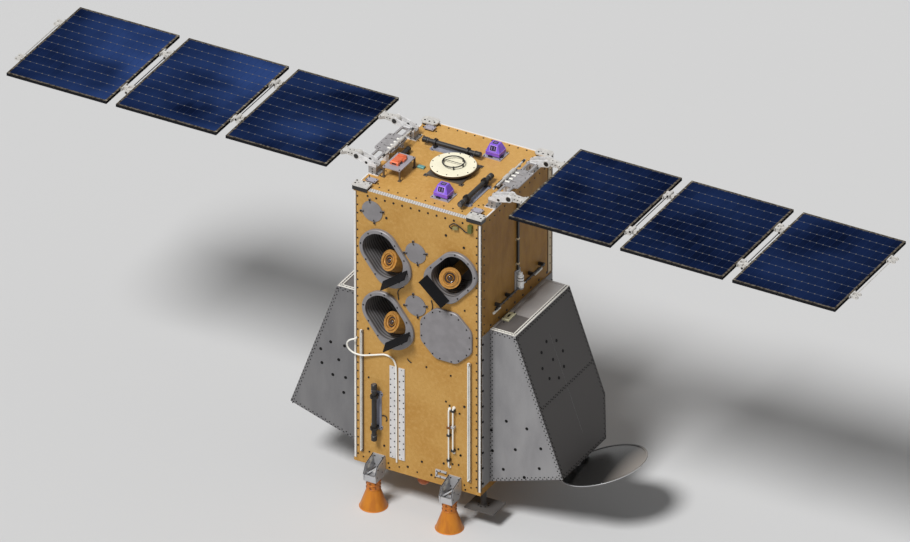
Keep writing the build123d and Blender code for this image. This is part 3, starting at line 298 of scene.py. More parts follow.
def paintWings():
    # cropped cells in rows, bare corners between them, painted sheen on the cells, a pale rim and a dark
    # carbon back with taped wiring
    w = wingField
    shader = newMaterial("solarCells", specular=0.0)
    where, x, y, z = spot(shader)
    along = minus(calc("MODULO", minus(outward(x), w["firstEdge"]), w["panelPitch"]), w["rim"])
    across = plus(y, w["width"] / 2)
    cellX, cellY = w["length"] / w["columns"], w["width"] / w["rows"]
    # distance to the nearest cell border each way, in metres
    nearX, nearY = times(ridges(along, cellX), cellX), times(ridges(across, cellY), cellY)
    lineX, lineY = below(nearX, w["lineHalf"] * 0.6), below(nearY, w["lineHalf"])
    corner = below(plus(nearX, nearY), w["diamond"])
    counts = calc("DIVIDE", along, cellX), calc("DIVIDE", across, cellY), times(x, w["lots"])
    whole = {k: calc("FLOOR", count) for k, count in enumerate(counts)}
    number = add(shader, "ShaderNodeCombineXYZ", whole)[0]
    lot = add(shader, "ShaderNodeTexWhiteNoise", {"Vector": number}, noise_dimensions="3D")[0]
    cell = blend(ramp(lot, 0.0, 1.0, 0.25, 0.85), w["cellDeep"], w["cell"])
    # painted sheen: broad paler patches on the cells, strongest at the panels' inner ends and on the left
    # wing
    sheen = times(ramp(cloud(where, w["sheen"], 2.0), 0.34, 0.66, 0.0, 0.75),
                  ramp(along, 0.0, 0.6, 1.0, 0.35),
                  ramp(x, -1.4, 0.9, 1.0, 0.35))
    cell = blend(sheen, cell, w["cellSheen"])
    fingers = calc("PINGPONG", times(across, w["fingers"]), 0.5)
    cell = blend(ramp(fingers, 0.0, 0.12, 0.10, 0.0), cell, w["line"])
    cell = blend(times(lineX, 0.5), cell, w["column"])
    cell = blend(times(lineY, 0.75), cell, w["line"])
    cell = blend(corner, cell, w["bare"])
    onX = below(outward(minus(along, w["length"] / 2)), w["length"] / 2)
    onField = times(onX, below(outward(y), w["width"] / 2))
    rim = blend(ramp(cloud(where, w["scuffs"], 4.0), 0.38, 0.62), w["rimDark"], w["rimTone"])
    rim = blend(times(below(nearY, w["tabHalf"]), below(along, 0.0)), rim, w["tab"])
    lower = blend(cloud(where, w["weave"], 1.0), shade(w["carbon"], 0.7), shade(w["carbon"], 1.5))
    taped = larger(calc("COMPARE", outward(y), w["tapeY"], w["tapeHalf"]),
                   calc("COMPARE", along, w["tapeX"], w["tapeHalf"]))
    lower = blend(times(taped, onField), lower, w["tape"])
    onTop = times(above(z, w["topHeight"]), above(facing(shader)[2], 0.5))
    gloss = ramp(times(onTop, onField), 0.0, 1.0, *w["gloss"])
    groove = times(larger(larger(lineX, lineY), corner), onField)
    finish(shader, blend(onTop, lower, blend(onField, rim, cell)), gloss, groove, *w["relief"], invert=True)


ribbedFoil = {
    "pale": tint(236, 233, 229), "dark": tint(112, 106, 100), "pitch": 0.0105, "slant": 0.8,
    "frontHalf": 0.385,
    "metallic": 0.10, "gloss": (0.28, 0.42), "relief": (0.6, 0.002),
}


def paintFoil():
    # bright strip with fine slanting ribs along the deck's front edge, painted shade in their grooves, plain
    # along the others
    r = ribbedFoil
    shader = newMaterial("ribbedFoil", r["metallic"])
    where, x, y, z = spot(shader)
    rib = ridges(plus(x, times(y, r["slant"])), r["pitch"])
    onFront = below(y, -r["frontHalf"])
    # painted shade in the grooves between the ribs
    foil = blend(times(ramp(rib, 0.12, 0.30, 1.0, 0.0), onFront), r["pale"], r["dark"])
    finish(shader, foil, ramp(cloud(where, 90.0), 0.3, 0.7, *r["gloss"]), times(rib, onFront), *r["relief"])


postPaint = {
    "white": tint(224, 221, 216), "joint": tint(104, 82, 54), "shadedFlank": tint(98, 82, 62),
    "jointEnd": 0.3866, "flankStart": 0.3972, "front": 0.4095,      # distances from the bus's middle
    "gloss": (0.42, 0.58), "relief": (0.12, 0.0008),
}


def paintPosts():
    # white corner posts with a dull joint beside the front panels, and painted shade on their flanks
    p = postPaint
    shader = newMaterial("postPaint")
    where, x, y, z = spot(shader)
    onFront = above(outward(y), p["front"])
    joint = times(onFront, below(outward(x), p["jointEnd"]))
    # painted shade on the posts' flanks, which face the bus's sides
    shadedFlank = times(above(outward(x), p["flankStart"]), minus(1.0, onFront))
    worn = cloud(where, 30.0, 4.0, (1.0, 1.0, 0.15))
    paint = blend(ramp(worn, 0.3, 0.7), shade(p["white"], 0.90), p["white"])
    paint = blend(shadedFlank, blend(joint, paint, p["joint"]), p["shadedFlank"])
    finish(shader, paint, ramp(worn, 0.3, 0.7, *p["gloss"]), cloud(where, 300.0), *p["relief"])


housingSkin = {
    "skin": tint(146, 145, 146), "dark": tint(130, 129, 131), "outer": tint(70, 67, 66), "leftShadeShare": 0.69,
    "flange": tint(134, 132, 132), "flangeLimits": {"outX": (0.399, 0.4046), "outY": (0.3105, 0.42)},
    "metallic": 0.20, "gloss": (0.46, 0.60), "relief": (0.10, 0.0012),
}


def paintHousings():
    # rolled grey sheet with paler flanges, painted shade on the outer face, and more painted shade over all
    # of the left one
    h = housingSkin
    shader = newMaterial("housingSkin", h["metallic"])
    where, *place = spot(shader)
    tone = plus(times(cloud(where, 12.0, 5.0, (1.0, 1.0, 0.35)), 0.7), times(cloud(where, 380.0, 2.0), 0.3))
    share = ramp(tone, 0.36, 0.62)
    skin = blend(share, h["dark"], h["skin"])
    # painted shade: the outer faces, turned to the sides, are darker
    outer = blend(share, shade(h["outer"], 0.82), h["outer"])
    sheet = blend(above(outward(facing(shader)[0]), 0.8), skin, outer)
    sheet = blend(inside(place, h["flangeLimits"]), sheet, h["flange"])
    # painted shade: the left housing is darker all over
    paintedLeftShade = calc("MULTIPLY_ADD", below(place[0], 0.0), h["leftShadeShare"] - 1.0, 1.0)
    sheet = vector("SCALE", {0: sheet, "Scale": paintedLeftShade})[0]
    finish(shader, sheet, ramp(tone, 0.3, 0.7, *h["gloss"]), tone, *h["relief"])


cups = {
    # x, z, turn in degrees
    "places": ((-0.193, 1.579, 127.0), (0.216, 1.576, 48.0), (-0.177, 1.187, 127.0)),
    "frameFace": -0.433, "face": -0.413,
    # along and across the cup
    "screws": ((0.172, 0.0), (-0.152, 0.0), (0.046, 0.1135), (0.046, -0.1135), (-0.052, 0.1135),
               (-0.052, -0.1135), (0.141, 0.083), (0.141, -0.083), (-0.128, 0.083), (-0.128, -0.083)),
    "screw": (0.0048, 0.003),
    # barrel's front: along the cup, out of the face, and its lean
    "lensPlace": (-0.020, -0.008), "cant": 35.0,
    # radius and height of the rims and the glass, from the barrel's front
    "rings": (((0.0375, -0.010), (0.0375, 0.001), (0.0340, 0.003), (0.0310, 0.000), (0.0300, -0.009)),
              ((0.0200, -0.010), (0.0200, -0.0035), (0.0180, -0.002), (0.0160, -0.0035), (0.0155, -0.010))),
    "glass": (((0.0325, -0.0085), (0.0290, -0.0050), (0.0240, -0.0060), (0.0200, -0.0085)),
              ((0.0154, -0.0080), (0.0145, 0.0006), (0.0100, 0.0030), (0.0050, 0.0038), (0.0, 0.0040))),
    "cup": tint(137, 134, 136), "well": tint(138, 136, 137), "ridgeShade": tint(84, 82, 82),
    "ridge": 0.021, "wellStart": -0.4325, "metallic": 0.20, "gloss": (0.48, 0.36), "relief": (0.25, 0.0012),
    # length, width, corner radius and shift of the cups' mouths, and how far the wall's paint goes past them
    "mouth": (0.282, 0.204, 0.096, 0.020), "past": 0.0015,
}


def paintCups():
    # grey cast frames, and turned ridges down the walls of the wells inside their mouths, with painted shade
    # along each ridge
    shader = newMaterial("cupSkin", cups["metallic"])
    where, x, y, z = spot(shader)
    length, width, corner, shift = cups["mouth"]
    within = None
    for cupX, cupZ, turn in cups["places"]:
        cosine, sine = math.cos(math.radians(turn)), math.sin(math.radians(turn))
        dx, dz = minus(x, cupX), minus(z, cupZ)
        a = calc("MULTIPLY_ADD", dz, sine, times(dx, cosine))
        b = calc("MULTIPLY_ADD", dx, -sine, times(dz, cosine))
        a = minus(outward(minus(a, shift)), length / 2 - corner)
        b = minus(outward(b), width / 2 - corner)
        past = add(shader, "ShaderNodeCombineXYZ", {0: larger(a, 0.0), 1: larger(b, 0.0)})[0]
        hit = below(vector("LENGTH", {0: past})["Value"], corner + cups["past"])
        within = hit if within is None else larger(within, hit)
    well = times(within, above(y, cups["wellStart"]))
    cast = blend(ramp(cloud(where, 18.0, 4.0), 0.36, 0.62), shade(cups["cup"], 0.86), cups["cup"])
    ridge = ridges(y, cups["ridge"])
    # painted shade along each ridge of the wells' walls
    wall = blend(ramp(ridge, 0.10, 0.34), cups["ridgeShade"], cups["well"])
    height = plus(times(well, ridge, 4.0), cloud(where, 340.0))
    finish(shader, blend(well, cast, wall), ramp(well, 0.0, 1.0, *cups["gloss"]), height, *cups["relief"])


nozzleCoat = {
    "orange": tint(200, 124, 22), "deep": tint(180, 106, 18), "neck": tint(190, 110, 24),
    "lip": tint(206, 126, 34),
    "stain": tint(140, 72, 18), "coneTop": 0.120, "neckStart": 0.122, "lipTop": 0.006, "turning": 0.0042,
    "metallic": 0.22, "coat": 0.15, "gloss": (0.34, 0.46),
}


def paintNozzles():
    # orange heat-tinted bells with turning marks, deeper towards the neck
    n = nozzleCoat
    shader = newMaterial("nozzleCoat", n["metallic"])
    shader.inputs["Coat Weight"].default_value = n["coat"]
    where, x, y, z = spot(shader)
    streak = cloud(where, 26.0, 4.0, (1.0, 1.0, 0.12))
    bell = blend(ramp(streak, 0.40, 0.60), n["orange"], n["deep"])
    bell = blend(ramp(z, 0.05, n["coneTop"], 0.0, 0.45), bell, shade(n["deep"], 1.15))
    bell = blend(ramp(ridges(z, n["turning"]), 0.0, 0.18, 0.22, 0.0), bell, n["stain"])
    bell = blend(below(z, n["lipTop"]), bell, n["lip"])
    collar = blend(ramp(cloud(where, 70.0), 0.56, 0.68), n["neck"], n["stain"])
    finish(shader, blend(above(z, n["neckStart"]), bell, collar), ramp(streak, 0.3, 0.7, *n["gloss"]))


# plainer finishes: colour, metallic, roughness, mottle, and the scales of its patches and grain
finishes = {
    "whitePaint": ((232, 230, 222), 0.0, 0.50, 0.06),
    "brightMetal": ((190, 190, 192), 0.40, 0.34, 0.10, 7.0, 420.0),
    "whiteLug": ((204, 201, 196), 0.12, 0.42, 0.20, 42.0),
    "paleCap": ((166, 162, 160), 0.10, 0.34, 0.10, 5.0),
    # painted shade: the dish is painted nearly black, as it stands in shade
    "dishGrey": ((28, 27, 26), 0.15, 0.42, 0.10, 4.0),
    "orangeCamera": ((176, 126, 58), 0.20, 0.36, 0.34, 40.0),
    "blackCoat": ((30, 28, 27), 0.0, 0.42, 0.25),
    "darkBody": ((40, 36, 50), 0.20, 0.42, 0.25, 40.0),
    "redUnit": ((226, 110, 68), 0.10, 0.40, 0.12, 40.0),
    "discFinish": ((250, 243, 216), 0.0, 0.50, 0.05, 16.0),
    "purpleCoat": ((138, 96, 224), 0.20, 0.36, 0.14, 36.0),
    # painted shade: the white patch is painted dark grey, as it lies in shade under the bus
    "shadedPatch": ((82, 79, 77), 0.0, 0.60, 0.12),
    "brownDome": ((168, 84, 30), 0.10, 0.36, 0.14, 20.0),
    "blackScrew": ((30, 26, 24), 0.35, 0.40, 0.20, 7.0, 900.0),
    "rivetBlack": ((12, 11, 11), 0.0, 0.60, 0.10, 7.0, 900.0),
    "shadeBlack": ((20, 20, 22), 0.0, 0.60, 0.20),
    "rivetGrey": ((40, 38, 39), 0.35, 0.42, 0.15, 7.0, 900.0),
    "oliveGrey": ((134, 126, 82), 0.10, 0.45, 0.15, 60.0),
    "palePurple": ((184, 150, 240), 0.20, 0.34, 0.10, 60.0),
    "sidePale": ((196, 176, 142), 0.10, 0.46, 0.12, 20.0),
    "clampBrown": ((122, 76, 34), 0.20, 0.46, 0.18, 60.0),
    "lensGlass": ((50, 26, 12), 0.0, 0.08, 0.10, 7.0, 260.0, 0.0),
    "stripGrey": ((208, 206, 205), 0.10, 0.46, 0.08, 20.0),
    "railFinish": ((222, 220, 214), 0.0, 0.48, 0.08, 20.0),
    "shadedGrey": ((96, 92, 90), 0.20, 0.50, 0.12),
    "deckPlateFinish": ((176, 172, 182), 0.30, 0.40, 0.08),
    "rodMountFinish": ((34, 32, 31), 0.15, 0.42, 0.20),
    "tableFinish": ((96, 84, 72), 0.15, 0.48, 0.14),
    "rootFinish": ((220, 219, 219), 0.12, 0.42, 0.20, 42.0),
    "releaseFinish": ((232, 232, 230), 0.15, 0.42, 0.12, 30.0),
    "loopFinish": ((36, 26, 20), 0.0, 0.42, 0.25),
}
specularOf = {"rivetBlack": 0.15, "shadeBlack": 0.12, "lensGlass": 0.8}
paintedLightFades = {"dishGrey": (1.05, 1.19, (146, 139, 132))}     # painted light: the dish grows paler from one x to another, towards its lit outer end, and the colour there
deckTop = 1.975
regions = {     # boxes of another colour, on nodes that hold pieces of several finishes; some of them are painted shade
    # painted shadow of the bus on the cap's front part, then a cream block
    "paleCap": (({"y": (-0.32, -0.10), "outX": (0.40, 0.540), "z": (1.2355, 1.2395)}, (104, 100, 98)),
                ({"y": (-0.19, -0.10), "outX": (0.407, 0.453), "z": (1.2385, 1.2600)}, (206, 200, 164))),
    "discFinish": (({"z": (2.003, 2.0150)}, (74, 60, 46)),),
    # the patch's post darker still
    "shadedPatch": (({"z": (0.1072, 0.22)}, (62, 58, 55)),),
    # painted shade on the right half of each rail
    "railFinish": (({"x": (-0.3455, -0.330)}, (112, 100, 88)), ({"x": (0.3345, 0.350)}, (142, 122, 94))),
    # painted shade on the disc's base plate, under the disc; then a teal connector
    "deckPlateFinish": (({"outX": (0.0, 0.125), "outY": (0.0, 0.125), "z": (1.97, 2.01)}, (98, 92, 86)),
                        ({"x": (-0.20, -0.14), "y": (-0.07, -0.04), "z": (1.97, 1.99)}, (104, 160, 158))),
    "rodMountFinish": (({"y": (-0.41, 0.5), "z": (1.97, deckTop + 0.0053)}, (150, 152, 166)),
                       ({"y": (-0.4183, -0.41), "z": (0.3, 0.9)}, (150, 152, 166))),
    "tableFinish": (({"z": (deckTop + 0.061, deckTop + 0.07)}, (164, 160, 168)),),
    "rootFinish": (({"outY": (0.0, 0.184), "z": (2.03, 2.05)}, (156, 153, 154)),
                   ({"outX": (0.33, 0.402), "outY": (0.185, 0.246), "z": (1.974, 2.022)}, (150, 147, 145))),
    "releaseFinish": (({"outX": (0.40, 0.44), "outY": (0.036, 0.30), "z": (1.34, 1.40)}, (34, 31, 29)),
                      ({"outX": (0.40, 0.4085), "outY": (0.0, 0.03), "z": (1.33, 1.47)}, (160, 158, 158))),
    "loopFinish": (({"x": (0.3275, 0.3525), "y": (-0.436, -0.413), "z": (1.901, 1.949)}, (86, 92, 38)),),
}


def surface(name, colour, metallic, roughness, mottle, patch=7.0, grain=260.0, depth=0.15):
    # a finish whose tone wanders a little, with a fine grain in its gloss and relief
    shader = newMaterial(name, metallic, specularOf.get(name, 0.5))
    where, *place = spot(shader)
    fine = cloud(where, grain, 2.0)
    share = ramp(plus(times(cloud(where, patch, 4.0), 0.6), times(fine, 0.4)), 0.35, 0.65)

    def mottled(tone):
        return blend(share, shade(tint(*tone), 1 - mottle), shade(tint(*tone), 1 + mottle))

    mixed = mottled(colour)
    for limits, other in regions.get(name, ()):
        mixed = blend(inside(place, limits), mixed, mottled(other))
    # painted light, where a finish has it: paler from one x to another
    if name in paintedLightFades:
        start, end, other = paintedLightFades[name]
        mixed = blend(ramp(place[0], start, end), mixed, tint(*other))
    gloss = ramp(fine, 0.3, 0.7, roughness * 0.85, min(1.0, roughness * 1.15))
    finish(shader, mixed, gloss, fine, depth, 0.0006)


for name, values in finishes.items():
    surface(name, *values)
for paint in (paintFilm, paintWings, paintFoil, paintPosts, paintHousings, paintNozzles, paintCups):
    paint()

slotFinish = {
    "gold_film": "goldFilm", "white_paint": "whitePaint", "foil_strip": "ribbedFoil",
    "machined_aluminium": "brightMetal", "white_lug": "whiteLug", "grey_housing": "housingSkin",
    "light_cap": "paleCap", "dish_grey": "dishGrey", "orange_nozzle": "nozzleCoat",
    "orange_camera": "orangeCamera",
    "black_coat": "blackCoat", "dark_body": "darkBody", "red_unit": "redUnit", "cream_disc": "discFinish",
    "purple_coat": "purpleCoat", "patch_white": "shadedPatch", "brown_dome": "brownDome",
    "solar_cells": "solarCells",
}
nodeFinish = {      # nodes whose finish isn't their slot's
    "corner_posts": "postPaint", "camera_cups": "cupSkin", "face_covers": "cupSkin",
    "deck_plates": "deckPlateFinish",
    "rod_mounts": "rodMountFinish", "table_bracket": "tableFinish", "root_brackets": "rootFinish",
    "release_gear": "releaseFinish", "connector_loop": "loopFinish", "perforated_strips": "stripGrey",
    "front_rails": "railFinish", "shade_plates": "shadeBlack",
}
for row in frame["record"]["subparts"]:
    materials = frame["nodes"][row["node"]].data.materials
    materials.clear()
    materials.append(made[nodeFinish.get(row["node"], slotFinish[row["material_slot"]])])
print("materials on", len(frame["nodes"]), "nodes")

# slots of small pieces by their finish; all the others are black_coat
pieceSlot = {finishName: slotName for slotName, finishName in slotFinish.items()}
pieceSlot.update(stripGrey="white_paint", sidePale="white_paint", clampBrown="brown_dome",
                 oliveGrey="patch_white",
                 palePurple="purple_coat")


# how small pieces are built
def standing(centre, normal, spin=0.0):
    # turns local Z to the normal at the centre
    turn = Vector(normal).to_track_quat("Z", "Y").to_matrix().to_4x4()
    return Matrix.Translation(centre) @ turn @ Matrix.Rotation(math.radians(spin), 4, "Z")


def stud(bm, centre, normal, radius, height, sides=8, top=0.82):
    lift = Vector(normal).normalized() * (height / 2)
    bmesh.ops.create_cone(bm, cap_ends=True, segments=sides, radius1=radius, radius2=radius * top,
                          depth=height, matrix=standing(Vector(centre) + lift, normal))


def studs(bm, places, normal, size):
    for centre in places:
        stud(bm, centre, normal, *size)


def spread(start, end, pitch, inset=0.0):
    # evenly spaced points from start to end, both included after the inset
    start, end = Vector(start), Vector(end)
    way = (end - start).normalized()
    start, end = start + way * inset, end - way * inset
    count = max(1, round((end - start).length / pitch))
    return [start.lerp(end, k / count) for k in range(count + 1)]


def line(bm, start, end, normal, size, pitch, inset=0.0):
    studs(bm, spread(start, end, pitch, inset), normal, size)


def fourAround(x, y, halfX, halfY, z):
    return [(x + i * halfX, y + j * halfY, z) for i, j in corners]


def circle(count, first=0.0, upright=False):
    # unit vectors all round, level or in the plane of the front face; first is in radians
    turns = [first + math.tau * k / count for k in range(count)]
    ways = [(math.cos(t), 0, math.sin(t)) if upright else (math.cos(t), math.sin(t), 0) for t in turns]
    return [Vector(way) for way in ways]


def block(bm, centre, size, normal=up, spin=0.0, edge=0.0):
    place = standing(Vector(centre), normal, spin) @ Matrix.Diagonal((*size, 1.0))
    cube = bmesh.ops.create_cube(bm, size=1.0, matrix=place)
    if edge:
        edges = {e for v in cube["verts"] for e in v.link_edges}
        bmesh.ops.bevel(bm, geom=list(edges), offset=edge, affect="EDGES", segments=2, profile=0.5,
                        material=-1)


def blocks(bm, centre, rows, wayX=1, wayY=1):
    # rows give place from the centre, size and edge; a way of -1 puts them on the other side
    for (x, y, z), size, edge in rows:
        block(bm, Vector(centre) + Vector((wayX * x, wayY * y, z)), size, edge=edge)


def bar(bm, start, end, radius, sides=12):
    # round bar from one point to another
    way = Vector(end) - Vector(start)
    bmesh.ops.create_cone(bm, cap_ends=True, segments=sides, radius1=radius, radius2=radius,
                          depth=way.length, matrix=standing(Vector(start) + way / 2, way))


def turnRound(bm, geom, steps):
    bmesh.ops.spin(bm, geom=geom, cent=(0, 0, 0), axis=(0, 0, 1), dvec=(0, 0, 0), angle=math.tau, steps=steps,
                   use_merge=True, use_duplicate=False)


def revolve(bm, profile, steps=32):
    # profile: radius and height pairs, turned round Z
    verts = [bm.verts.new((r, 0.0, h)) for r, h in profile]
    turnRound(bm, verts + [bm.edges.new(ends) for ends in zip(verts, verts[1:])], steps)


def hoop(radius, thick, sides, steps, drop=0.0):
    # wire ring round Z
    bm = bmesh.new()
    place = Matrix.Translation((radius, 0, drop)) @ Matrix.Rotation(math.pi / 2, 4, "X")
    bmesh.ops.create_circle(bm, segments=sides, radius=thick, matrix=place)
    turnRound(bm, bm.verts[:] + bm.edges[:], steps)
    return bm


def carry(source, place, target):
    # moves a finished bmesh to its place in another
    bmesh.ops.transform(source, matrix=place, verts=source.verts)
    mesh = bpy.data.meshes.new("carry")
    source.to_mesh(mesh)
    source.free()
    target.from_mesh(mesh)
    bpy.data.meshes.remove(mesh)


def settle(name, data, finishName, slotName, body):
    slotName = slotName or pieceSlot.get(finishName, "black_coat")
    data.materials.append(made[finishName])
    piece = link(name, data)
    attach(piece, body)


def keep(bm, name, finishName, slotName=None, body="bus", smooth=False):
    # a finished piece from its bmesh, on its body
    bmesh.ops.remove_doubles(bm, verts=bm.verts, dist=1e-6)
    bmesh.ops.recalc_face_normals(bm, faces=bm.faces)
    for face in bm.faces:
        face.smooth = smooth
    mesh = bpy.data.meshes.new(name)
    bm.to_mesh(mesh)
    bm.free()
    settle(name, mesh, finishName, slotName, body)


def wire(name, points, radius, finishName, body="bus"):
    # bent wire along a smooth line through the points' hull
    curve = bpy.data.curves.new(name, "CURVE")
    curve.dimensions = "3D"
    spline = curve.splines.new("NURBS")
    spline.points.add(len(points) - 1)
    for point, place in zip(spline.points, points):
        point.co = (*place, 1.0)
    spline.order_u = 3
    spline.use_endpoint_u = True
    curve.bevel_depth = radius
    curve.bevel_resolution = 2
    curve.resolution_u = 8
    settle(name, curve, finishName, None, body)


# the bus: fasteners on its faces; a screw is radius, height and sometimes sides
bus = {
    "halfX": 0.400, "halfY": 0.413, "top": 1.975,
    "rowLow": 0.265, "frontHigh": 1.925, "sideHigh": 1.905, "postHigh": 1.895,    # ends of the upright rows
    "frontColumn": 0.374, "sideColumn": 0.375, "postInset": 0.002, "postSide": 0.0065,
    "topRow": (-0.310, 0.340, 1.943), "lowRow": (-0.340, 0.340, 0.253),           # along x, and their height
    "beltRow": (-0.300, 0.340, 1.262), "sideTopRow": (-0.313, 0.313, 1.943),      # along y, and their height
    "deckRows": (((-0.27, -0.352), (0.25, -0.352)), ((-0.30, 0.390), (0.30, 0.390)),
                 ((-0.378, -0.30), (-0.378, -0.27)), ((-0.378, 0.262), (-0.378, 0.34)),
                 ((0.378, 0.262), (0.378, 0.34)), ((0.300, -0.330), (0.300, -0.255))),
    "screw": (0.0050, 0.0030), "topScrew": (0.00675, 0.0030), "beltScrew": (0.0080, 0.0030),
    "postScrew": (0.0026, 0.0012),
    "edgePitch": 0.054, "topPitch": 0.056, "lowPitch": 0.112, "beltPitch": 0.090, "postPitch": 0.051,
    "dotHeight": 0.004,
    # x, z and radius of the larger studs on the front face
    "dots": ((-0.192, 1.836, 0.008), (0.182, 1.834, 0.008), (0.295, 1.787, 0.008), (-0.308, 1.091, 0.008),
             (-0.208, 0.363, 0.007), (0.298, 0.765, 0.008), (0.182, 0.765, 0.006), (0.275, 0.444, 0.007),
             (0.168, 0.360, 0.007), (0.262, 0.378, 0.006), (0.030, 0.330, 0.007), (-0.060, 0.270, 0.007),
             (0.090, 0.262, 0.007), (-0.300, 0.930, 0.006), (0.300, 1.385, 0.006), (0.212, 0.940, 0.006),
             (-0.306, 0.777, 0.006), (0.059, 0.951, 0.006)),
}


def busScrews():
    b = bus
    x, y, low, screw, pitch = b["halfX"], b["halfY"], b["rowLow"], b["screw"], b["edgePitch"]
    face, side, deck, post = [bmesh.new() for k in range(4)]
    for s, k in corners:
        column = s * b["frontColumn"]
        line(face, (column, k * y, low), (column, k * y, b["frontHigh"]), (0, k, 0), screw, pitch)
        column = k * b["sideColumn"]
        line(side, (s * x, column, low), (s * x, column, b["sideHigh"]), (s, 0, 0), screw, pitch)
        # along the posts, on both of their outer faces
        outX, outY, inX, inY = [h - d for d in (b["postInset"], b["postSide"]) for h in (x, y)]
        for px, py, normal in ((outX, inY, (s, 0, 0)), (inX, outY, (0, k, 0))):
            ends = [(s * px, k * py, z) for z in (low, b["postHigh"])]
            line(post, *ends, normal, b["postScrew"], b["postPitch"])
    for key, size, pitch in (("topRow", b["topScrew"], b["topPitch"]), ("lowRow", b["screw"], b["lowPitch"])):
        start, end, z = b[key]
        line(face, (start, -y, z), (end, -y, z), front, size, pitch)
    for px, pz, radius in b["dots"]:
        stud(face, (px, -y, pz), front, radius, b["dotHeight"], 12)
    for s in pair:
        for key, size, pitch in (("beltRow", b["beltScrew"], b["beltPitch"]),
                                 ("sideTopRow", b["screw"], b["topPitch"])):
            start, end, z = b[key]
            line(side, (s * x, start, z), (s * x, end, z), (s, 0, 0), size, pitch)
    for start, end in b["deckRows"]:
        line(deck, (*start, b["top"]), (*end, b["top"]), up, b["screw"], b["topPitch"])
    keep(face, "face_screws", "blackScrew")
    keep(side, "side_screws", "blackScrew")
    keep(deck, "deck_screws", "blackScrew")
    keep(post, "post_screws", "stripGrey")


busScrews()
print("bus screws done")


def cameraCups():
    screws, rims, glass = bmesh.new(), bmesh.new(), bmesh.new()
    cant = math.radians(cups["cant"])
    out = Vector(front)
    for x, z, turn in cups["places"]:
        turn = math.radians(turn)
        along = Vector((math.cos(turn), 0, math.sin(turn)))
        across = Vector((-along.z, 0, along.x))
        middle = Vector((x, cups["frameFace"], z))
        studs(screws, [middle + along * a + across * b for a, b in cups["screws"]], out, cups["screw"])
        shift, lift = cups["lensPlace"]
        centre = Vector((x, cups["face"], z)) + along * shift + out * lift
        place = standing(centre, along * math.sin(cant) + out * math.cos(cant))
        for target, profiles in ((rims, cups["rings"]), (glass, cups["glass"])):
            part = bmesh.new()
            for profile in profiles:
                revolve(part, profile)
            carry(part, place, target)
    keep(screws, "cup_screws", "blackScrew")
    keep(rims, "lens_rings", "orangeCamera", smooth=True)
    keep(glass, "lens_glass", "lensGlass", smooth=True)


cameraCups()

# side housings: rivets along every edge, seam and hole groups
housing = {
    "rootX": 0.400, "topX": 0.561, "lipX": 0.861, "topZ": 1.236, "lipZ": 0.405, "rootZ": 0.258,
    "halfY": 0.310,
    "cutY": 0.122, "cutUp": 0.216,
    "rivet": (0.0040, 0.0020, 6), "rivetPitch": 0.0275,
    "rowGap": 0.0105, "rows": ((0.55, 0.0), (1.55, 0.5)),      # distance in gaps and shift in pitches
    "rowEnd": 0.012, "edgeEnd": 0.02, "wallEnd": 0.03, "seamEnd": 0.01, "lean": 0.36, "floorLean": 0.3,
    "hole": (0.0095, 0.0015, 14, 0.95),
    "seam": 0.515, "seamBack": 0.014,          # shares of the way down the outer face
    "seamRows": ((0.0, -0.004), (0.01375, 0.005)),     # shift along the seam and down the slope
    "seamLap": (0.616, 0.0016, 0.0012),
    "wallScrew": (0.0078, 0.0062, 10), "wallScrewY": 0.392, "wallScrewEnds": (0.03, 0.05), "wallPitch": 0.095,
    # x, z on the front wall of each housing
    "frontHoles": {1: ((0.505, 0.678), (0.411, 0.593), (0.634, 0.667), (0.418, 0.461), (0.562, 0.511),
                       (0.722, 0.564), (0.487, 0.361), (0.713, 0.433), (0.619, 0.348)),
                   -1: ((-0.604, 0.863), (-0.667, 0.800), (-0.516, 0.862), (-0.553, 0.762), (-0.660, 0.712),
                        (-0.591, 0.655), (-0.510, 0.659), (-0.522, 0.559))},
    # y and share of the way down the outer face
    "outerHoles": ((-0.052, 0.179), (0.038, 0.224), (-0.127, 0.213), (0.064, 0.312), (-0.047, 0.308),
                   (-0.165, 0.303), (0.028, 0.400), (-0.133, 0.392), (-0.049, 0.436)),
    # the caps: distance from the edge and width of each strip, its thickness, and the dots between them
    "capStrips": ((0.005, 0.008), (0.021, 0.007)), "capThick": 0.004, "capGap": (0.006, 0.004),
    "capEdge": 0.0008,
    "dotLine": 0.013, "dotEnds": (0.02, 0.03), "dotSunk": 0.001, "capDot": (0.0034, 0.003, 6),
    "dotPitch": 0.0215,
}


def rivetLine(bm, start, end, normal, inward, ends=housing["rowEnd"]):
    # two staggered rows along an edge, on its inner side
    h = housing
    start, end, inward = Vector(start), Vector(end), Vector(inward).normalized()
    for gaps, shift in h["rows"]:
        step, aside = (end - start).normalized() * (h["rivetPitch"] * shift), inward * (h["rowGap"] * gaps)
        places = spread(start + aside, end + aside, h["rivetPitch"], ends)
        studs(bm, [p + step for p in places], normal, h["rivet"])


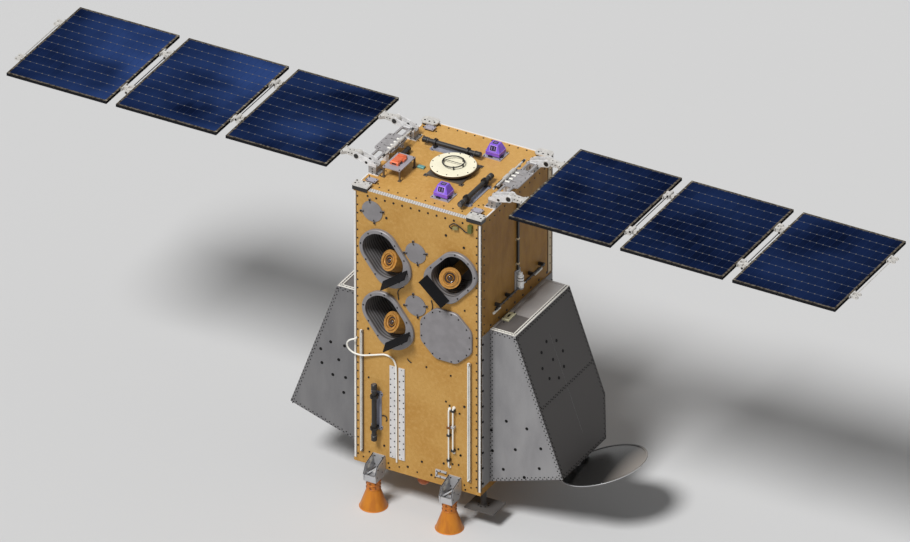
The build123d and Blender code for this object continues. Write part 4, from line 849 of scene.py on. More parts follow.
def housingRivets(s):
    h = housing
    rivets, holes, lap = bmesh.new(), bmesh.new(), bmesh.new()
    root, top, lip, halfY, topZ = s * h["rootX"], s * h["topX"], s * h["lipX"], h["halfY"], h["topZ"]
    slope = Vector((s * (topZ - h["lipZ"]), 0, h["lipX"] - h["topX"])).normalized()
    down = Vector((lip - top, 0, h["lipZ"] - topZ))
    uncut = 1 - h["cutUp"] / down.length
    # the rear wall ends along the cut, square to the outer face
    turnX, turnZ = top + down.x * uncut, topZ + down.z * uncut
    cutRoot = turnZ - (abs(turnX) - h["rootX"]) * slope.z / abs(slope.x)
    for k, outX, outZ, low in ((-1, lip, h["lipZ"], h["rootZ"]), (1, turnX, turnZ, cutRoot)):
        y, normal = k * halfY, (0, k, 0)
        rivetLine(rivets, (top, y, topZ), (outX, y, outZ), normal, (-s, 0, -h["lean"]))
        rivetLine(rivets, (root, y, topZ), (top, y, topZ), normal, (0, 0, -1), h["edgeEnd"])
        rivetLine(rivets, (root, y, low), (outX, y, outZ), normal, (-h["floorLean"] * s, 0, 1), h["edgeEnd"])
        rivetLine(rivets, (root, y, low), (root, y, topZ), normal, (s, 0, 0), h["wallEnd"])
    # dark discs where the holes are: painted shade inside them
    studs(holes, [(x, -halfY, z) for x, z in h["frontHoles"][s]], front, h["hole"])
    topFront, topRear = Vector((top, -halfY, topZ)), Vector((top, halfY, topZ))
    middle = Vector((top, 0, topZ)) + down / 2
    lipRear = topRear + down - Vector((0, h["cutY"], 0))
    outline = (topFront, topFront + down, lipRear, topRear + down * uncut, topRear)
    for a, b in zip(outline, outline[1:] + outline[:1]):
        inward = slope.cross((b - a).normalized())
        rivetLine(rivets, a, b, slope, inward if inward.dot(middle - a) > 0 else -inward)
    seam = down * h["seam"]
    for along, drop in h["seamRows"]:
        step = Vector((0, along, 0)) + down.normalized() * drop
        places = [p + step for p in spread(topFront + seam, topRear + seam, h["rivetPitch"], h["edgeEnd"])]
        studs(rivets, [p for p in places if abs(p.y) < halfY - h["seamEnd"]], slope, h["rivet"])
    # more painted shade in the holes of the outer face
    studs(holes, [Vector((top, y, topZ)) + down * share for y, share in h["outerHoles"]], slope, h["hole"])
    for k in pair:
        y, (low, high) = k * h["wallScrewY"], h["wallScrewEnds"]
        start, end = (root, y, h["rootZ"] + low), (root, y, topZ - high)
        line(rivets, start, end, (s, 0, 0), h["wallScrew"], h["wallPitch"])
    block(lap, Vector((top, 0, topZ)) + down * (h["seam"] - h["seamBack"]), h["seamLap"], slope, 90.0)
    keep(rivets, "housing_rivets_" + sideName[s], "rivetBlack", "grey_housing")
    keep(holes, "housing_holes_" + sideName[s], "rivetBlack")
    keep(lap, "housing_seam_" + sideName[s], "housingSkin")


def capTrim(s):
    # pale double strip with dark fasteners along the cap's outer and front edges
    h = housing
    strips, dots = bmesh.new(), bmesh.new()
    root, top, halfY, thick = s * h["rootX"], s * h["topX"], h["halfY"], h["capThick"]
    z = h["topZ"] + thick
    longX, longY = [span - gap for span, gap in zip((abs(top - root), 2 * halfY), h["capGap"])]
    for off, wide in h["capStrips"]:
        block(strips, (top - s * off, 0, z), (wide, longY, thick), edge=h["capEdge"])
        block(strips, ((root + top) / 2, off - halfY, z), (longX, wide, thick), edge=h["capEdge"])
    z -= h["dotSunk"]
    column, row, (near, far) = top - s * h["dotLine"], h["dotLine"] - halfY, h["dotEnds"]
    for start, end in (((column, near - halfY, z), (column, halfY - near, z)),
                       ((root + s * near, row, z), (top - s * far, row, z))):
        line(dots, start, end, up, h["capDot"], h["dotPitch"])
    keep(strips, "cap_strips_" + sideName[s], "whitePaint")
    keep(dots, "cap_dots_" + sideName[s], "rivetGrey")


for side in pair:
    housingRivets(side)
    capTrim(side)
print("housings done")

# front face: screws of the covers, rails and strips
frontDetails = {
    "face": -0.413,
    "covers": ((-0.280, 1.855), (-0.007, 1.665), (-0.007, 1.328)),      # x, z
    "tabLift": 0.007, "tabTurn": 12.0, "tabBar": (0.013, 0.0045, 0.0016),
    "tabRing": 0.072, "barRing": 0.0645, "coverRing": 0.055,            # distances from the cover's middle
    "tabScrew": (0.0062, 0.0035, 10), "coverScrew": (0.0036, 0.0025),
    "largeCover": (0.188, -0.429, 1.193), "largeApothem": 0.151, "largePair": 0.036,
    "largeScrew": (0.0046, 0.0028),
    "rails": ((-0.346, 0.292, 1.074, 0.018), (0.333, 0.294, 1.057, 0.022)),       # x, low z, high z, width
    "railLift": 0.012, "railPitch": 0.086, "railColumn": 0.36, "railEnds": (0.012, 0.004),
    "railScrew": (0.0024, 0.0016), "railEndScrew": (0.0030, 0.0020),
    "strips": (-0.152, -0.0955), "stripZ": (0.304, 0.896), "stripEnd": 0.010, "stripLift": 0.006,
    "stripScrew": (0.0026, 0.0014),
    "hole": (0.0046, 0.0063, 10, 1.0), "holeColumn": 0.0125, "holePitch": 0.088, "holePair": 0.034,
    "holeStarts": ((-1, 0.35), (1, 0.85)),
}


def coverScrews():
    f = frontDetails
    bm = bmesh.new()
    for x, z in f["covers"]:
        centre = Vector((x, f["face"] - f["tabLift"], z))
        for k, way in enumerate(circle(4, math.radians(f["tabTurn"]), upright=True)):
            stud(bm, centre + way * f["tabRing"], front, *f["tabScrew"])
            stud(bm, centre + way * f["coverRing"], front, *f["coverScrew"])
            place = centre + way * f["barRing"] - Vector((0, f["tabBar"][2] / 2, 0))
            block(bm, place, f["tabBar"], front, 180.0 - 90 * k - f["tabTurn"])
    for way in circle(8, upright=True):
        centre, across = Vector(f["largeCover"]) + way * f["largeApothem"], Vector((-way.z, 0, way.x))
        studs(bm, [centre + across * k * f["largePair"] for k in pair], front, f["largeScrew"])
    keep(bm, "cover_screws", "blackScrew")


def stripHoles():
    # painted shade: dark discs in the strips' holes; and small screws along the rails
    f = frontDetails
    bm = bmesh.new()
    y, (low, high) = f["face"], f["stripZ"]
    for x in f["strips"]:
        for k, start in f["holeStarts"]:
            z = low + start * f["holePitch"]
            while z + f["holePair"] < high - 2 * f["hole"][0]:
                studs(bm, [(x + k * f["holeColumn"], y, h) for h in (z, z + f["holePair"])], front, f["hole"])
                z += f["holePitch"]
        heights = (low + f["stripEnd"], (low + high) / 2, high - f["stripEnd"])
        studs(bm, [(x, y - f["stripLift"], z) for z in heights], front, f["stripScrew"])
    y -= f["railLift"]
    inset, end = f["railEnds"]
    for x, low, high, width in f["rails"]:
        column = x + width * f["railColumn"]
        line(bm, (column, y, low), (column, y, high), front, f["railScrew"], f["railPitch"], inset)
        studs(bm, [(x, y, z) for z in (low + end, high - end)], front, f["railEndScrew"])
    keep(bm, "strip_holes", "blackCoat")


tubeDetails = {
    "saddle": (0.022, 0.014, 0.022), "edge": 0.002,
    # x, z of the clamps
    "clamps": (("tube_saddles", "clampBrown", ((0.207, 0.611),)),
               ("tube_collars", "brightMetal", ((0.234, 0.620),)),
               ("tube_clips", "blackCoat", ((0.207, 0.400), (0.207, 0.560), (0.234, 0.724), (0.234, 0.468)))),
    "screws": ((0.2735, 0.442), (0.213, 0.716), (0.268, 0.712), (0.205, 0.745), (0.2605, 0.480),
               (0.193, 0.379), (0.224, 0.372)),
    "screw": (0.0062, 0.004, 10),
    "collarScrews": ((0.2265, 0.620), (0.2415, 0.620)), "collarScrew": (0.0022, 0.0012, 6),
    "socket": (0.247, -0.421, 1.902), "socketSize": (0.034, 0.018, 0.016), "socketTurn": 12.0,
}


def tubeClamps():
    t, y = tubeDetails, frontDetails["face"]
    deep = t["saddle"][2]
    for name, finishName, places in t["clamps"]:
        bm = bmesh.new()
        for x, z in places:
            block(bm, (x, y - deep / 2, z), t["saddle"], front, edge=t["edge"])
        keep(bm, name, finishName)
    screws, socket = bmesh.new(), bmesh.new()
    studs(screws, [(x, y, z) for x, z in t["screws"]], front, t["screw"])
    studs(screws, [(x, y - deep, z) for x, z in t["collarScrews"]], front, t["collarScrew"])
    block(socket, t["socket"], t["socketSize"], front, t["socketTurn"], t["edge"])
    keep(screws, "tube_screws", "blackScrew")
    keep(socket, "loop_socket", "oliveGrey")


faceWires = {
    "radius": 0.0030, "lift": 0.0035, "sunk": 0.002,
    "wires": {
        "wire_left": ((-0.082, 1.425), (-0.104, 1.412), (-0.122, 1.384), (-0.116, 1.356), (-0.114, 1.333)),
        "wire_right": ((0.091, 1.388), (0.098, 1.368), (0.099, 1.345), (0.094, 1.328)),
        "wire_hook": ((-0.222, 0.553), (-0.206, 0.562), (-0.190, 0.552), (-0.189, 0.534), (-0.196, 0.526)),
        "wire_small": ((-0.060, 0.968), (-0.046, 0.957), (-0.036, 0.952)),
    },
}


def faceWiring():
    # each lead starts and ends in the face
    y = frontDetails["face"]
    for name, points in faceWires["wires"].items():
        first, last = [(x, y + faceWires["sunk"], z) for x, z in (points[0], points[-1])]
        route = [first, *[(x, y - faceWires["lift"], z) for x, z in points], last]
        wire(name, route, faceWires["radius"], "blackCoat")


coverScrews()
stripHoles()
tubeClamps()
faceWiring()
print("front face details done")

# deck: corner plates, table, sensors, disc and rods
deck = {
    # middle and top of the corner plates
    "cornerPlate": (0.358, 0.388, 1.997), "cornerScrew": (0.0054, 0.0022, 10),
    # along x and outward in y, on the front and on the rear plates
    "cornerScrews": ((-1, ((-0.040, -0.015), (0.040, -0.015), (0.036, 0.014), (0.0, -0.018))),
                     (1, ((-0.030, -0.012), (0.030, -0.012), (0.0, -0.016)))),
    "smallPlates": ((-0.336, -0.318), (-0.330, 0.328), (0.330, -0.322)),
    "smallHalf": (0.023, 0.013, 1.991), "smallScrew": (0.0034, 0.0022),
    "besideSmall": (0.041, 0.004), "besideScrew": (0.0052, 0.004),
    "table": (-0.256, -0.155, 0.047, 0.080, 2.043), "tableScrew": (0.0046, 0.0026, 10),
    "disc": 2.019, "discRing": 0.119, "discScrews": 12, "discScrew": (0.0040, 0.0022),
    "discTabs": (0, 0, 0.115, 0.115, 1.980), "discTabScrew": (0.0046, 0.003),
    "sensors": ((0.121, 0.262), (0.084, -0.262)), "sensorPlate": (0.049, 0.042, 1.982),
    "sensorScrew": (0.0042, 0.0028),
}


def deckScrewGroups():
    d = deck
    bm = bmesh.new()
    x, y, z = d["cornerPlate"]
    for s in pair:
        for k, rows in d["cornerScrews"]:
            studs(bm, [(s * (x + dx), k * (y + dy), z) for dx, dy in rows], up, d["cornerScrew"])
    dx, dy = d["besideSmall"]
    for x, y in d["smallPlates"]:
        studs(bm, fourAround(x, y, *d["smallHalf"]), up, d["smallScrew"])
        studs(bm, [(x + k * dx, y - k * dy, deckTop) for k in pair], up, d["besideScrew"])
    studs(bm, fourAround(*d["table"]), up, d["tableScrew"])
    ring = circle(d["discScrews"], math.tau * 0.35 / d["discScrews"])
    studs(bm, [way * d["discRing"] + Vector((0, 0, d["disc"])) for way in ring], up, d["discScrew"])
    studs(bm, fourAround(*d["discTabs"]), up, d["discTabScrew"])
    dx, dy, z = d["sensorPlate"]
    for x, y in d["sensors"]:
        studs(bm, [(x + i * dx, y + j * dy, z) for i in (-1, 0, 1) for j in pair], up, d["sensorScrew"])
    keep(bm, "deck_fasteners", "blackScrew")


redUnit = {     # place, size and edge of each small block, from the middle of the unit's top
    "place": (-0.262, -0.150, 2.063),
    "ribs": (((0, -0.03162, 0.0015), (0.036, 0.022, 0.003), 0.001),
             ((0, 0.03162, 0.0015), (0.036, 0.022, 0.003), 0.001),
             ((0.030, 0.014, -0.012), (0.010, 0.036, 0.012), 0.0015)),
    "marks": (((0.027, -0.020, -0.012), (0.003, 0.020, 0.008), 0),
              ((0, -0.0515, -0.011), (0.026, 0.003, 0.008), 0)),
    "screwX": 0.030, "screwY": (-0.04284, -0.01428, 0.01428, 0.04284), "screwDrop": -0.020,
    "screw": (0.0030, 0.003),
}


def redUnitTrim():
    r = redUnit
    ribs, marks, centre = bmesh.new(), bmesh.new(), Vector(r["place"])
    blocks(ribs, centre, r["ribs"])
    blocks(marks, centre, r["marks"])
    places = [centre + Vector((k * r["screwX"], y, r["screwDrop"])) for k in pair for y in r["screwY"]]
    studs(marks, places, up, r["screw"])
    keep(ribs, "red_unit_ribs", "redUnit")
    keep(marks, "red_unit_marks", "blackCoat")


sensorTrims = {
    # small blocks have their place from the middle of the head's top, their size and their edge;
    # the bars and feet stand twice, half a turn apart
    "top": 2.056, "headHalf": 0.038, "slope": (0.017, 0.044),      # run and rise of the leaning front
    "leaningPane": (0.036, 0.028, 0.0014), "leaningFrame": (0.046, 0.036, 0.0016),
    "leaningBar": (0.0024, 0.018, 0.0010),
    "frameEdge": 0.0006, "paneLift": 0.0008, "barLift": 0.0018, "barSide": 0.008,
    "pane": (((0, 0, -0.0002), (0.0300, 0.0280, 0.0010), 0),),
    "crossBar": (((0, 0, 0.0004), (0.0130, 0.0022, 0.0010), 0),),
    "bars": (((0.0055, 0, 0.0004), (0.0024, 0.0150, 0.0010), 0),
             # the next two are pale strips along the head's shoulders: painted highlights on its edges
             ((0.043, 0, -0.044), (0.0022, 0.078, 0.0026), 0),
             ((0, 0.038, -0.044), (0.088, 0.0022, 0.0026), 0)),
    "feet": (((0.046, -0.012, -0.069), (0.014, 0.018, 0.010), 0.0015),
             ((0.014, 0.0405, -0.069), (0.020, 0.012, 0.010), 0.0015)),
}


def sensorTrim():
    # dark window with purple bars on top, and pale strips along the shoulders as painted highlights
    t = sensorTrims
    glass, bars, feet = bmesh.new(), bmesh.new(), bmesh.new()
    run, rise = t["slope"]
    leaning = Vector((0, -rise, run)).normalized()
    for x, y in deck["sensors"]:
        centre = Vector((x, y, t["top"]))
        middle = centre + Vector((0, run / 2 - t["headHalf"], -rise / 2))
        block(bars, middle, t["leaningFrame"], leaning, edge=t["frameEdge"])
        block(glass, middle + leaning * t["paneLift"], t["leaningPane"], leaning)
        blocks(glass, centre, t["pane"])
        blocks(bars, centre, t["crossBar"])
        for k in pair:
            place = middle + leaning * t["barLift"] + Vector((k * t["barSide"], 0, 0))
            block(bars, place, t["leaningBar"], leaning)
            blocks(bars, centre, t["bars"], k, k)
            blocks(feet, centre, t["feet"], k, k)
    keep(glass, "sensor_windows", "darkBody")
    keep(bars, "sensor_bars", "palePurple")
    keep(feet, "sensor_feet", "darkBody")


rods = {
    # middle, direction along the rod, direction away from the surface
    "places": (((-0.104, 0.170, 1.975), (1, 0, 0), (0, 0, 1)), ((0.235, -0.171, 1.975), (0, 1, 0), (0, 0, 1)),
               ((-0.252, -0.413, 0.585), (0, 0, 1), (0, -1, 0))),
    # along, beside
    "plate": 0.005, "screws": ((0.107, 0.031, (0.0040, 0.003)), (0.118, 0.020, (0.0028, 0.002))),
    # along and away from the surface
    "cradle": (0.1025, 0.058), "cradleNut": (0.010, 0.010, 0.009), "nutEdge": 0.0015,
    "standoff": 0.036,
    # along: start and end, radius, sides
    "bands": ((0.146, 0.149, 0.0172, 24), (0.1815, 0.1832, 0.0120, 20)),
}


def rodTrim():
    r = rods
    screws, bands = bmesh.new(), bmesh.new()
    for middle, along, away in r["places"]:
        middle, along, away = Vector(middle), Vector(along), Vector(away)
        beside = away.cross(along)
        for i, j in corners:
            for a, b, size in r["screws"]:
                stud(screws, middle + along * i * a + beside * j * b + away * r["plate"], away, *size)
        for i in pair:
            nut = middle + along * i * r["cradle"][0] + away * r["cradle"][1]
            block(screws, nut, r["cradleNut"], away, edge=r["nutEdge"])
            axis = middle + away * r["standoff"]
            for start, end, radius, sides in r["bands"]:
                bar(bands, axis + along * i * start, axis + along * i * end, radius, sides)
    keep(screws, "rod_screws", "blackScrew")
    keep(bands, "rod_bands", "shadedGrey")


deckScrewGroups()
redUnitTrim()
sensorTrim()
rodTrim()
print("deck details done")

# wing roots
wingRoot = {
    "hingeY": 0.215, "axisZ": 2.060,
    # x, distance from the hinge's middle, z and size, on the feet and on the cheeks
    "footScrews": ((0.343, 0.028, 1.981, (0.0056, 0.0032, 10)), (0.373, 0.033, 1.981, (0.0034, 0.0024)),
                   (0.322, 0.030, 1.981, (0.0040, 0.0024)), (0.352, 0.030, 1.981, (0.0040, 0.0024))),
    "cheekScrews": ((0.376, 0.028, 1.992, (0.0040, 0.0024)), (0.376, 0.028, 2.008, (0.0040, 0.0024)),
                    (0.366, 0.0215, 2.046, (0.0036, 0.0024))),
    "wallX": 0.400, "wallScrews": ((-0.018, 1.988), (0.018, 1.988), (0.0, 2.008)),
    "wallScrew": (0.0044, 0.0026),
    "yokeTop": 2.045,
    "yokeScrews": ((((0.438, 0.072), (0.438, 0.024), (0.345, 0.078), (0.420, 0.078)), (0.0040, 0.0012, 10)),
                   (((0.374, 0.184), (0.422, 0.184), (0.374, 0.093), (0.422, 0.093)), (0.0030, 0.0018))),
    # short bars along y: x, z, start, end, radius and sides
    "pinBoreShade": (0.478, 2.060, 0.027, 0.029, 0.0140, 24), "pinRing": (0.478, 2.060, 0.0265, 0.028, 0.0185, 24),
    "earHoleShade": (0.415, 2.036, 0.0215, 0.0262, 0.0085, 16),
    "tieEnd": (0.350, 2.057, 0.150, 0.172, 0.0074, 14), "tieSleeve": (0.350, 2.057, 0.012, 0.056, 0.0114, 20),
    "tieRod": (0.350, 2.057, 0.180, 0.0052),
    "tieStand": (0.118, (0.012, 0.014, 0.018), 0.001),
    "damper": (0.312, 2.001, 0.0156), "damperRings": (-0.052, -0.030, 0.030, 0.052), "ringHalf": 0.0015,
    # the arm's upper edge: two points, each x and height over the axis, and where its screws stand
    "armEdge": ((0.478, 0.018), (0.572, 0.009)), "armTops": (0.505, 0.530), "armSunk": 0.0005,
    "armTopScrew": (0.0036, 0.0022),
    "armEnd": (0.563, 0.030, 0.009), "armEndScrew": (0.0038, 0.0022),
    "armSide": (0.5535, 0.017), "armSideScrew": (0.0040, 0.0016),
}


def shortBars(bm, s, middle, row):
    x, z, start, end, radius, sides = row
    for k in pair:
        bar(bm, (s * x, middle + k * start, z), (s * x, middle + k * end, z), radius, sides)


def rootTrim(s):
    w = wingRoot
    (x0, rise0), (x1, rise1) = w["armEdge"]
    screws, holeShadeAndBlackParts, tie, arm = [bmesh.new() for k in range(4)]
    for k in pair:
        y = k * w["hingeY"]
        for j in pair:
            for x, dy, z, size in w["footScrews"]:
                stud(screws, (s * x, y + j * dy, z), up, *size)
            for x, dy, z, size in w["cheekScrews"]:
                stud(screws, (s * x, y + j * dy, z), (0, j, 0), *size)
        studs(screws, [(s * w["wallX"], y + dy, z) for dy, z in w["wallScrews"]], (s, 0, 0), w["wallScrew"])
        for places, size in w["yokeScrews"]:
            studs(screws, [(s * x, k * dy, w["yokeTop"]) for x, dy in places], up, size)
        # painted shade: black discs in the hinge pins' bores and in the ear holes
        shortBars(holeShadeAndBlackParts, s, y, w["pinBoreShade"])
        shortBars(holeShadeAndBlackParts, s, y, w["earHoleShade"])
        shortBars(tie, s, y, w["pinRing"])
        for x in w["armTops"]:
            rise = rise0 + (rise1 - rise0) * (x - x0) / (x1 - x0) - w["armSunk"]
            stud(arm, (s * x, y, w["axisZ"] + rise), up, *w["armTopScrew"])
        x, dy, rise = w["armEnd"]
        studs(arm, [(s * x, y + j * dy, w["axisZ"] + rise) for j in pair], up, w["armEndScrew"])
        x, dy = w["armSide"]
        for j in pair:
            stud(arm, (s * x, y + j * dy, w["axisZ"]), (0, j, 0), *w["armSideScrew"])
    x, z, radius = w["damper"]
    for y in w["damperRings"]:
        bar(holeShadeAndBlackParts, (s * x, y - w["ringHalf"], z), (s * x, y + w["ringHalf"], z), radius, 24)
    shortBars(holeShadeAndBlackParts, s, 0, w["tieEnd"])
    x, z, half, radius = w["tieRod"]
    bar(tie, (s * x, -half, z), (s * x, half, z), radius)
    y, size, edge = w["tieStand"]
    for k in pair:
        block(tie, (s * x, k * y, (w["yokeTop"] + z) / 2), size, edge=edge)
    shortBars(tie, s, 0, w["tieSleeve"])
    keep(screws, "root_screws_" + sideName[s], "blackScrew")
    keep(holeShadeAndBlackParts, "root_plugs_" + sideName[s], "blackCoat")
    keep(tie, "root_tie_rod_" + sideName[s], "whiteLug")
    keep(arm, "arm_screws_" + sideName[s], "blackScrew", body="wing_1_" + sideName[s])


for side in pair:
    rootTrim(side)
print("wing roots done")

# wing hinges between the panels and at the tips
fold = {
    "edges": (0.572, 1.268, 1.964),           # inner edges of the panels
    "length": 0.636, "gap": 0.060, "offset": 0.014, "axisZ": 2.060, "halfThick": 0.009,
    "hingeY": 0.215, "shoe": 0.0315, "lugEnd": 0.028, "over": 0.003,
    "screw": (0.0028, 0.0018), "head": (0.0072, 0.0030, 6), "rod": (0.0028, 10),
}


def foldTrim(s):
    # screws on the hinge shoes, pin heads, and the thin rod that ties each pair of hinges
    f = fold
    for number, inner in enumerate(f["edges"], 1):
        ending = "%d_%s" % (number, sideName[s])
        screws = bmesh.new()
        rows = [(inner + f["length"] + f["over"], 1)]
        if number > 1:
            rows.append((inner - f["over"], -1))
            x = s * (inner - f["gap"] / 2)
            z = f["axisZ"] + (f["offset"] if number == 2 else -f["offset"])
            for i, j in corners:
                stud(screws, (x, i * f["hingeY"] + j * f["lugEnd"], z), (0, j, 0), *f["head"])
        for x, way in rows:
            for i, j in corners:
                y = i * f["hingeY"] + j * f["shoe"]
                for k in pair:
                    stud(screws, (s * x, y, f["axisZ"] + k * f["halfThick"]), (0, 0, k), *f["screw"])
                stud(screws, (s * (x + way * f["over"]), y, f["axisZ"]), (s * way, 0, 0), *f["screw"])
        keep(screws, "fold_screws_" + ending, "blackScrew", body="wing_" + ending)
        if number > 1:
            x, end, rod = s * (inner - f["gap"] / 2), f["hingeY"] - f["lugEnd"], bmesh.new()
            bar(rod, (x, -end, z), (x, end, z), *f["rod"])
            keep(rod, "fold_rod_" + ending, "blackCoat", body="wing_" + ending)


for side in pair:
    foldTrim(side)
print("wing hinges done")

# bus sides, release gear and dish
sideDetails = {     # small blocks have their place from the wall, their size and their edge
    "x": 0.400, "stripMiddle": 1.5975,
    "strip": (((0.0008, 0.371, 0), (0.0016, 0.030, 0.695), 0),),
    "seam": (((0.0007, 0.350, 0), (0.0014, 0.004, 0.695), 0),),
    "ties": (1.662, 1.502, 1.815),
    "tie": (((0.0066, 0, 0), (0.0136, 0.019, 0.011), 0.001),
            ((0.002, 0.013, 0), (0.004, 0.010, 0.011), 0.0008),
            ((0.002, -0.013, 0), (0.004, 0.010, 0.011), 0.0008)),
    "tieScrew": (0.0030, 0.0016), "tieScrewPlace": (0.004, 0.0135),
    "lineZ": 1.338, "lineHalf": 0.255, "lineScrew": (0.0046, 0.003), "linePitch": 0.044, "lineEnd": 0.02,
    "lineDrop": 0.016,
    "tube": (0.006, 0.0048),
    "clips": (((0.0055, 0.236, 0), (0.011, 0.014, 0.013), 0.0012),
              ((0.0055, 0.120, 0), (0.011, 0.014, 0.013), 0.0012)),
    "pads": (((0.0045, 0.237, -0.0135), (0.009, 0.080, 0.012), 0.0015),),
    "capBlock": (0.430, -0.145, 1.250), "capSlot": (0.010, 0.028, 0.004),
    "capHalf": (0.014, 0.034), "capScrew": (0.0030, 0.002), "capEar": (0.060, 1.238),
    "capEarScrew": (0.0050, 0.004),
    "release": 0.0233, "releaseBands": ((1.352, 0.0195), (1.400, 0.0192), (1.418, 0.0192)), "bandHalf": 0.002,
    # screws from the wall: out, along y, heights, size
    "releaseScrews": ((0.008, 0.023, (1.348, 1.454), (0.0034, 0.002)),
                      (0.034, 0.248, (1.370,), (0.0030, 0.0018)), (0.034, 0.131, (1.370,), (0.0030, 0.0018))),
}


def sideTrim(s):
    d = sideDetails
    x, z, half = s * d["x"], d["lineZ"], d["lineHalf"]
    strip, marks, tube, pale, bands = [bmesh.new() for k in range(5)]
    blocks(strip, (x, 0, d["stripMiddle"]), d["strip"], s)
    blocks(marks, (x, 0, d["stripMiddle"]), d["seam"], s)
    out, y = d["tieScrewPlace"]
    for h in d["ties"]:
        blocks(strip, (x, 0, h), d["tie"], s)
        studs(marks, [(x + s * out, k * y, h) for k in pair], (s, 0, 0), d["tieScrew"])
    h = z - d["lineDrop"]
    line(marks, (x, -half, h), (x, half, h), (s, 0, 0), d["lineScrew"], d["linePitch"], d["lineEnd"])
    bx, by, bz = d["capBlock"]
    studs(marks, fourAround(s * bx, by, *d["capHalf"], bz), up, d["capScrew"])
    y, h = d["capEar"]
    studs(marks, [(s * bx, by + k * y, h) for k in pair], up, d["capEarScrew"])
    block(marks, (s * bx, by, bz), d["capSlot"])
    out, radius = d["tube"]
    bar(tube, (x + s * out, -half, z), (x + s * out, half, z), radius)
    for k in pair:
        blocks(tube, (x, 0, z), d["clips"], s, k)
        blocks(pale, (x, 0, z), d["pads"], s, k)
        for out, y, heights, size in d["releaseScrews"]:
            studs(bands, [(x + s * out, k * y, h) for h in heights], (s, 0, 0), size)
    out = x + s * d["release"]
    for h, radius in d["releaseBands"]:
        bar(bands, (out, 0, h - d["bandHalf"]), (out, 0, h + d["bandHalf"]), radius, 28)
    keep(strip, "side_strip_" + sideName[s], "sidePale")
    keep(marks, "side_marks_" + sideName[s], "blackScrew")
    keep(tube, "side_tube_" + sideName[s], "blackCoat")
    keep(pale, "side_line_" + sideName[s], "whitePaint")
    keep(bands, "release_bands_" + sideName[s], "shadedGrey", "machined_aluminium")


dishRim = {
    # the rim's middle, and where the housing's floor meets the bus
    "x": 0.952, "wall": 0.400, "wallZ": 0.258,
    "fall": (0.461, 0.147),                         # run and drop of that floor
    "below": 0.075, "radius": 0.2475, "wire": 0.0034, "drop": -0.003,
}


def dishTrim():
    # rolled rim, in bright metal as a painted highlight along the dark dish's lip; its plane lies along the
    # housing's sloping floor
    d = dishRim
    fall = math.atan2(d["fall"][1], d["fall"][0])
    z = d["wallZ"] + (d["x"] - d["wall"]) * math.tan(fall) - d["below"]
    place = Matrix.Translation((d["x"], 0, z)) @ Matrix.Rotation(-fall, 4, "Y")
    rim = hoop(d["radius"], d["wire"], 10, 96, d["drop"])
    bmesh.ops.transform(rim, matrix=place, verts=rim.verts)
    keep(rim, "dish_rim", "brightMetal", "dish_grey", smooth=True)


for side in pair:
    sideTrim(side)
dishTrim()
print("side details done")

# nozzles, their brackets and the underside
nozzleTrim = {
    "places": ((-0.240, -1), (0.240, -1), (-0.240, 1), (0.240, 1)), "halfY": 0.413, "reach": 0.066,
    # height, radius and wire radius of the rings
    "rings": ((0.002, 0.0795, 0.0022), (0.1205, 0.0395, 0.0030), (0.1700, 0.0405, 0.0030),
              (0.1460, 0.0398, 0.0022)),
    "studs": 8, "studHeights": (0.133, 0.158), "studRing": 0.0395, "stud": (0.0052, 0.0036),
    # screws along y: beside the nozzle and z, how far out, and size
    "faceScrews": ((((-0.024, 0.286), (0.024, 0.286), (-0.024, 0.232), (0.024, 0.232)), 0.007,
                    (0.0044, 0.0030)),
                   (((-0.062, 0.296), (0.058, 0.258), (0.064, 0.230)), 0.0, (0.0056, 0.0040))),
    # reach and z on the side webs
    "webScrews": ((0.040, 0.268), (0.040, 0.214), (0.086, 0.250), (0.096, 0.206)),
    "webScrewX": 0.040, "webScrew": (0.0036, 0.0022),
    "webHalf": 0.0365, "webEdge": ((0.004, 0.300), (0.090, 0.272), (0.116, 0.222)), "edgeRadius": 0.0024,
    # diagonal ribs across the front: half length, reach, low and high z, gap and radius
    "rib": (0.0295, 0.088, 0.199, 0.269, 0.0062, 0.0020),
    "patches": ((0.034, 0.268), (0.058, 0.244)), "patchX": -0.0323, "patchSize": (0.0014, 0.026, 0.022),
    "patchEdge": 0.0004,
    "strapDots": ((0.128, 0.302), (0.128, 0.276), (0.150, 0.307), (0.150, 0.2705)), "strapLift": 0.008,
    "strapDot": (0.0040, 0.002),
    "patch": (0.368, -0.320, 0.104), "patchRing": 0.031, "patchScrews": 8, "patchScrew": (0.0046, 0.003),
    "bottom": (0.372, 0.385, 0.215), "bottomRows": (0.070, 0.0775), "bottomEnd": 0.310,
    "bottomScrew": (0.0050, 0.0030),
}


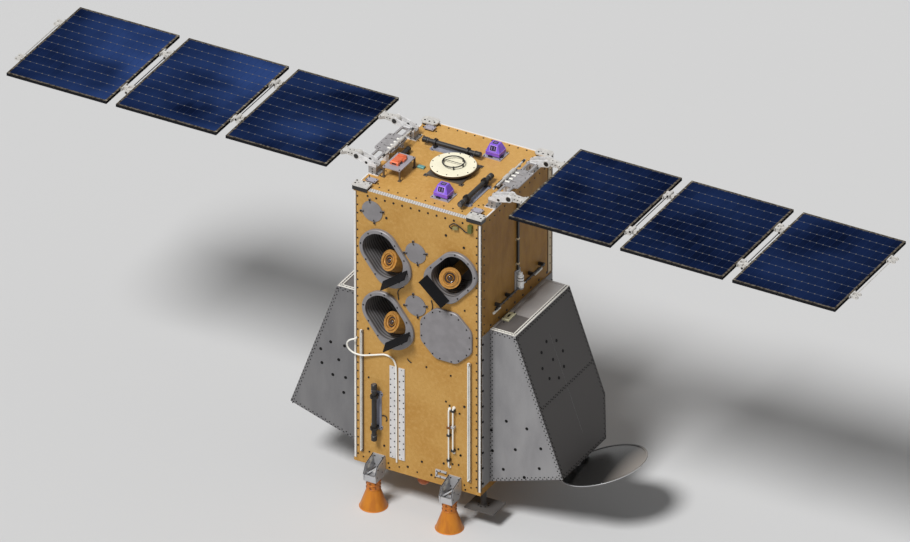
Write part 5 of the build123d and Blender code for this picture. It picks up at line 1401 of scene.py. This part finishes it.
def nozzleDetails():
    n = nozzleTrim
    rings, marks, screws, edges, patches = [bmesh.new() for k in range(5)]
    half, (ribHalf, ribReach, ribLow, ribHigh, ribGap, ribRadius) = n["webHalf"], n["rib"]
    for x, s in n["places"]:
        face = s * n["halfY"]
        y = s * (n["halfY"] + n["reach"])
        for z, radius, thick in n["rings"]:
            carry(hoop(radius, thick, 6, 48), Matrix.Translation((x, y, z)), rings)
        for way in circle(n["studs"]):
            studs(marks, [Vector((x, y, z)) + way * n["studRing"] for z in n["studHeights"]], way, n["stud"])
        for places, out, size in n["faceScrews"]:
            studs(screws, [(x + dx, s * (n["halfY"] + out), z) for dx, z in places], (0, s, 0), size)
        for k in pair:
            web = x + k * half
            for (near, low), (far, high) in zip(n["webEdge"], n["webEdge"][1:]):
                bar(edges, (web, face + s * near, low), (web, face + s * far, high), n["edgeRadius"], 8)
            y, lift = face + s * ribReach, k * ribGap
            bar(edges, (x - ribHalf, y, ribLow + lift), (x + ribHalf, y, ribHigh + lift), ribRadius, 8)
            places = [(x + k * n["webScrewX"], face + s * reach, z) for reach, z in n["webScrews"]]
            studs(screws, places, (k, 0, 0), n["webScrew"])
        for reach, z in n["patches"]:
            block(patches, (x + n["patchX"], face + s * reach, z), n["patchSize"], edge=n["patchEdge"])
    studs(screws, [(x, -n["halfY"] - n["strapLift"], z) for x, z in n["strapDots"]], front, n["strapDot"])
    ring = circle(n["patchScrews"])
    studs(screws, [Vector(n["patch"]) + way * n["patchRing"] for way in ring], up, n["patchScrew"])
    x, y, z = n["bottom"]
    for k in pair:
        for start, end, pitch in (((k * x, -y, z), (k * x, y, z), n["bottomRows"][0]),
                                  ((-n["bottomEnd"], k * y, z), (n["bottomEnd"], k * y, z),
                                   n["bottomRows"][1])):
            line(screws, start, end, (0, 0, -1), n["bottomScrew"], pitch)
    keep(rings, "nozzle_rings", "nozzleCoat", smooth=True)
    keep(marks, "nozzle_studs", "clampBrown")
    keep(screws, "bracket_screws", "blackScrew")
    keep(edges, "bracket_edges", "rivetBlack")
    keep(patches, "bracket_patches", "whitePaint")


nozzleDetails()
print("nozzles and underside done")

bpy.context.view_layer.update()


def layFloor():
    bm = bmesh.new()
    bmesh.ops.create_grid(bm, x_segments=1, y_segments=1, size=studio["floorHalf"])
    mesh = bpy.data.meshes.new("paleFloor")
    bm.to_mesh(mesh)
    bm.free()
    shader = newMaterial("paleFloor", specular=0.1)
    shader.inputs["Base Color"].default_value = shade(white, studio["floorTone"])
    shader.inputs["Roughness"].default_value = 0.9
    mesh.materials.append(made["paleFloor"])
    floor = link("paleFloor", mesh)


layFloor()
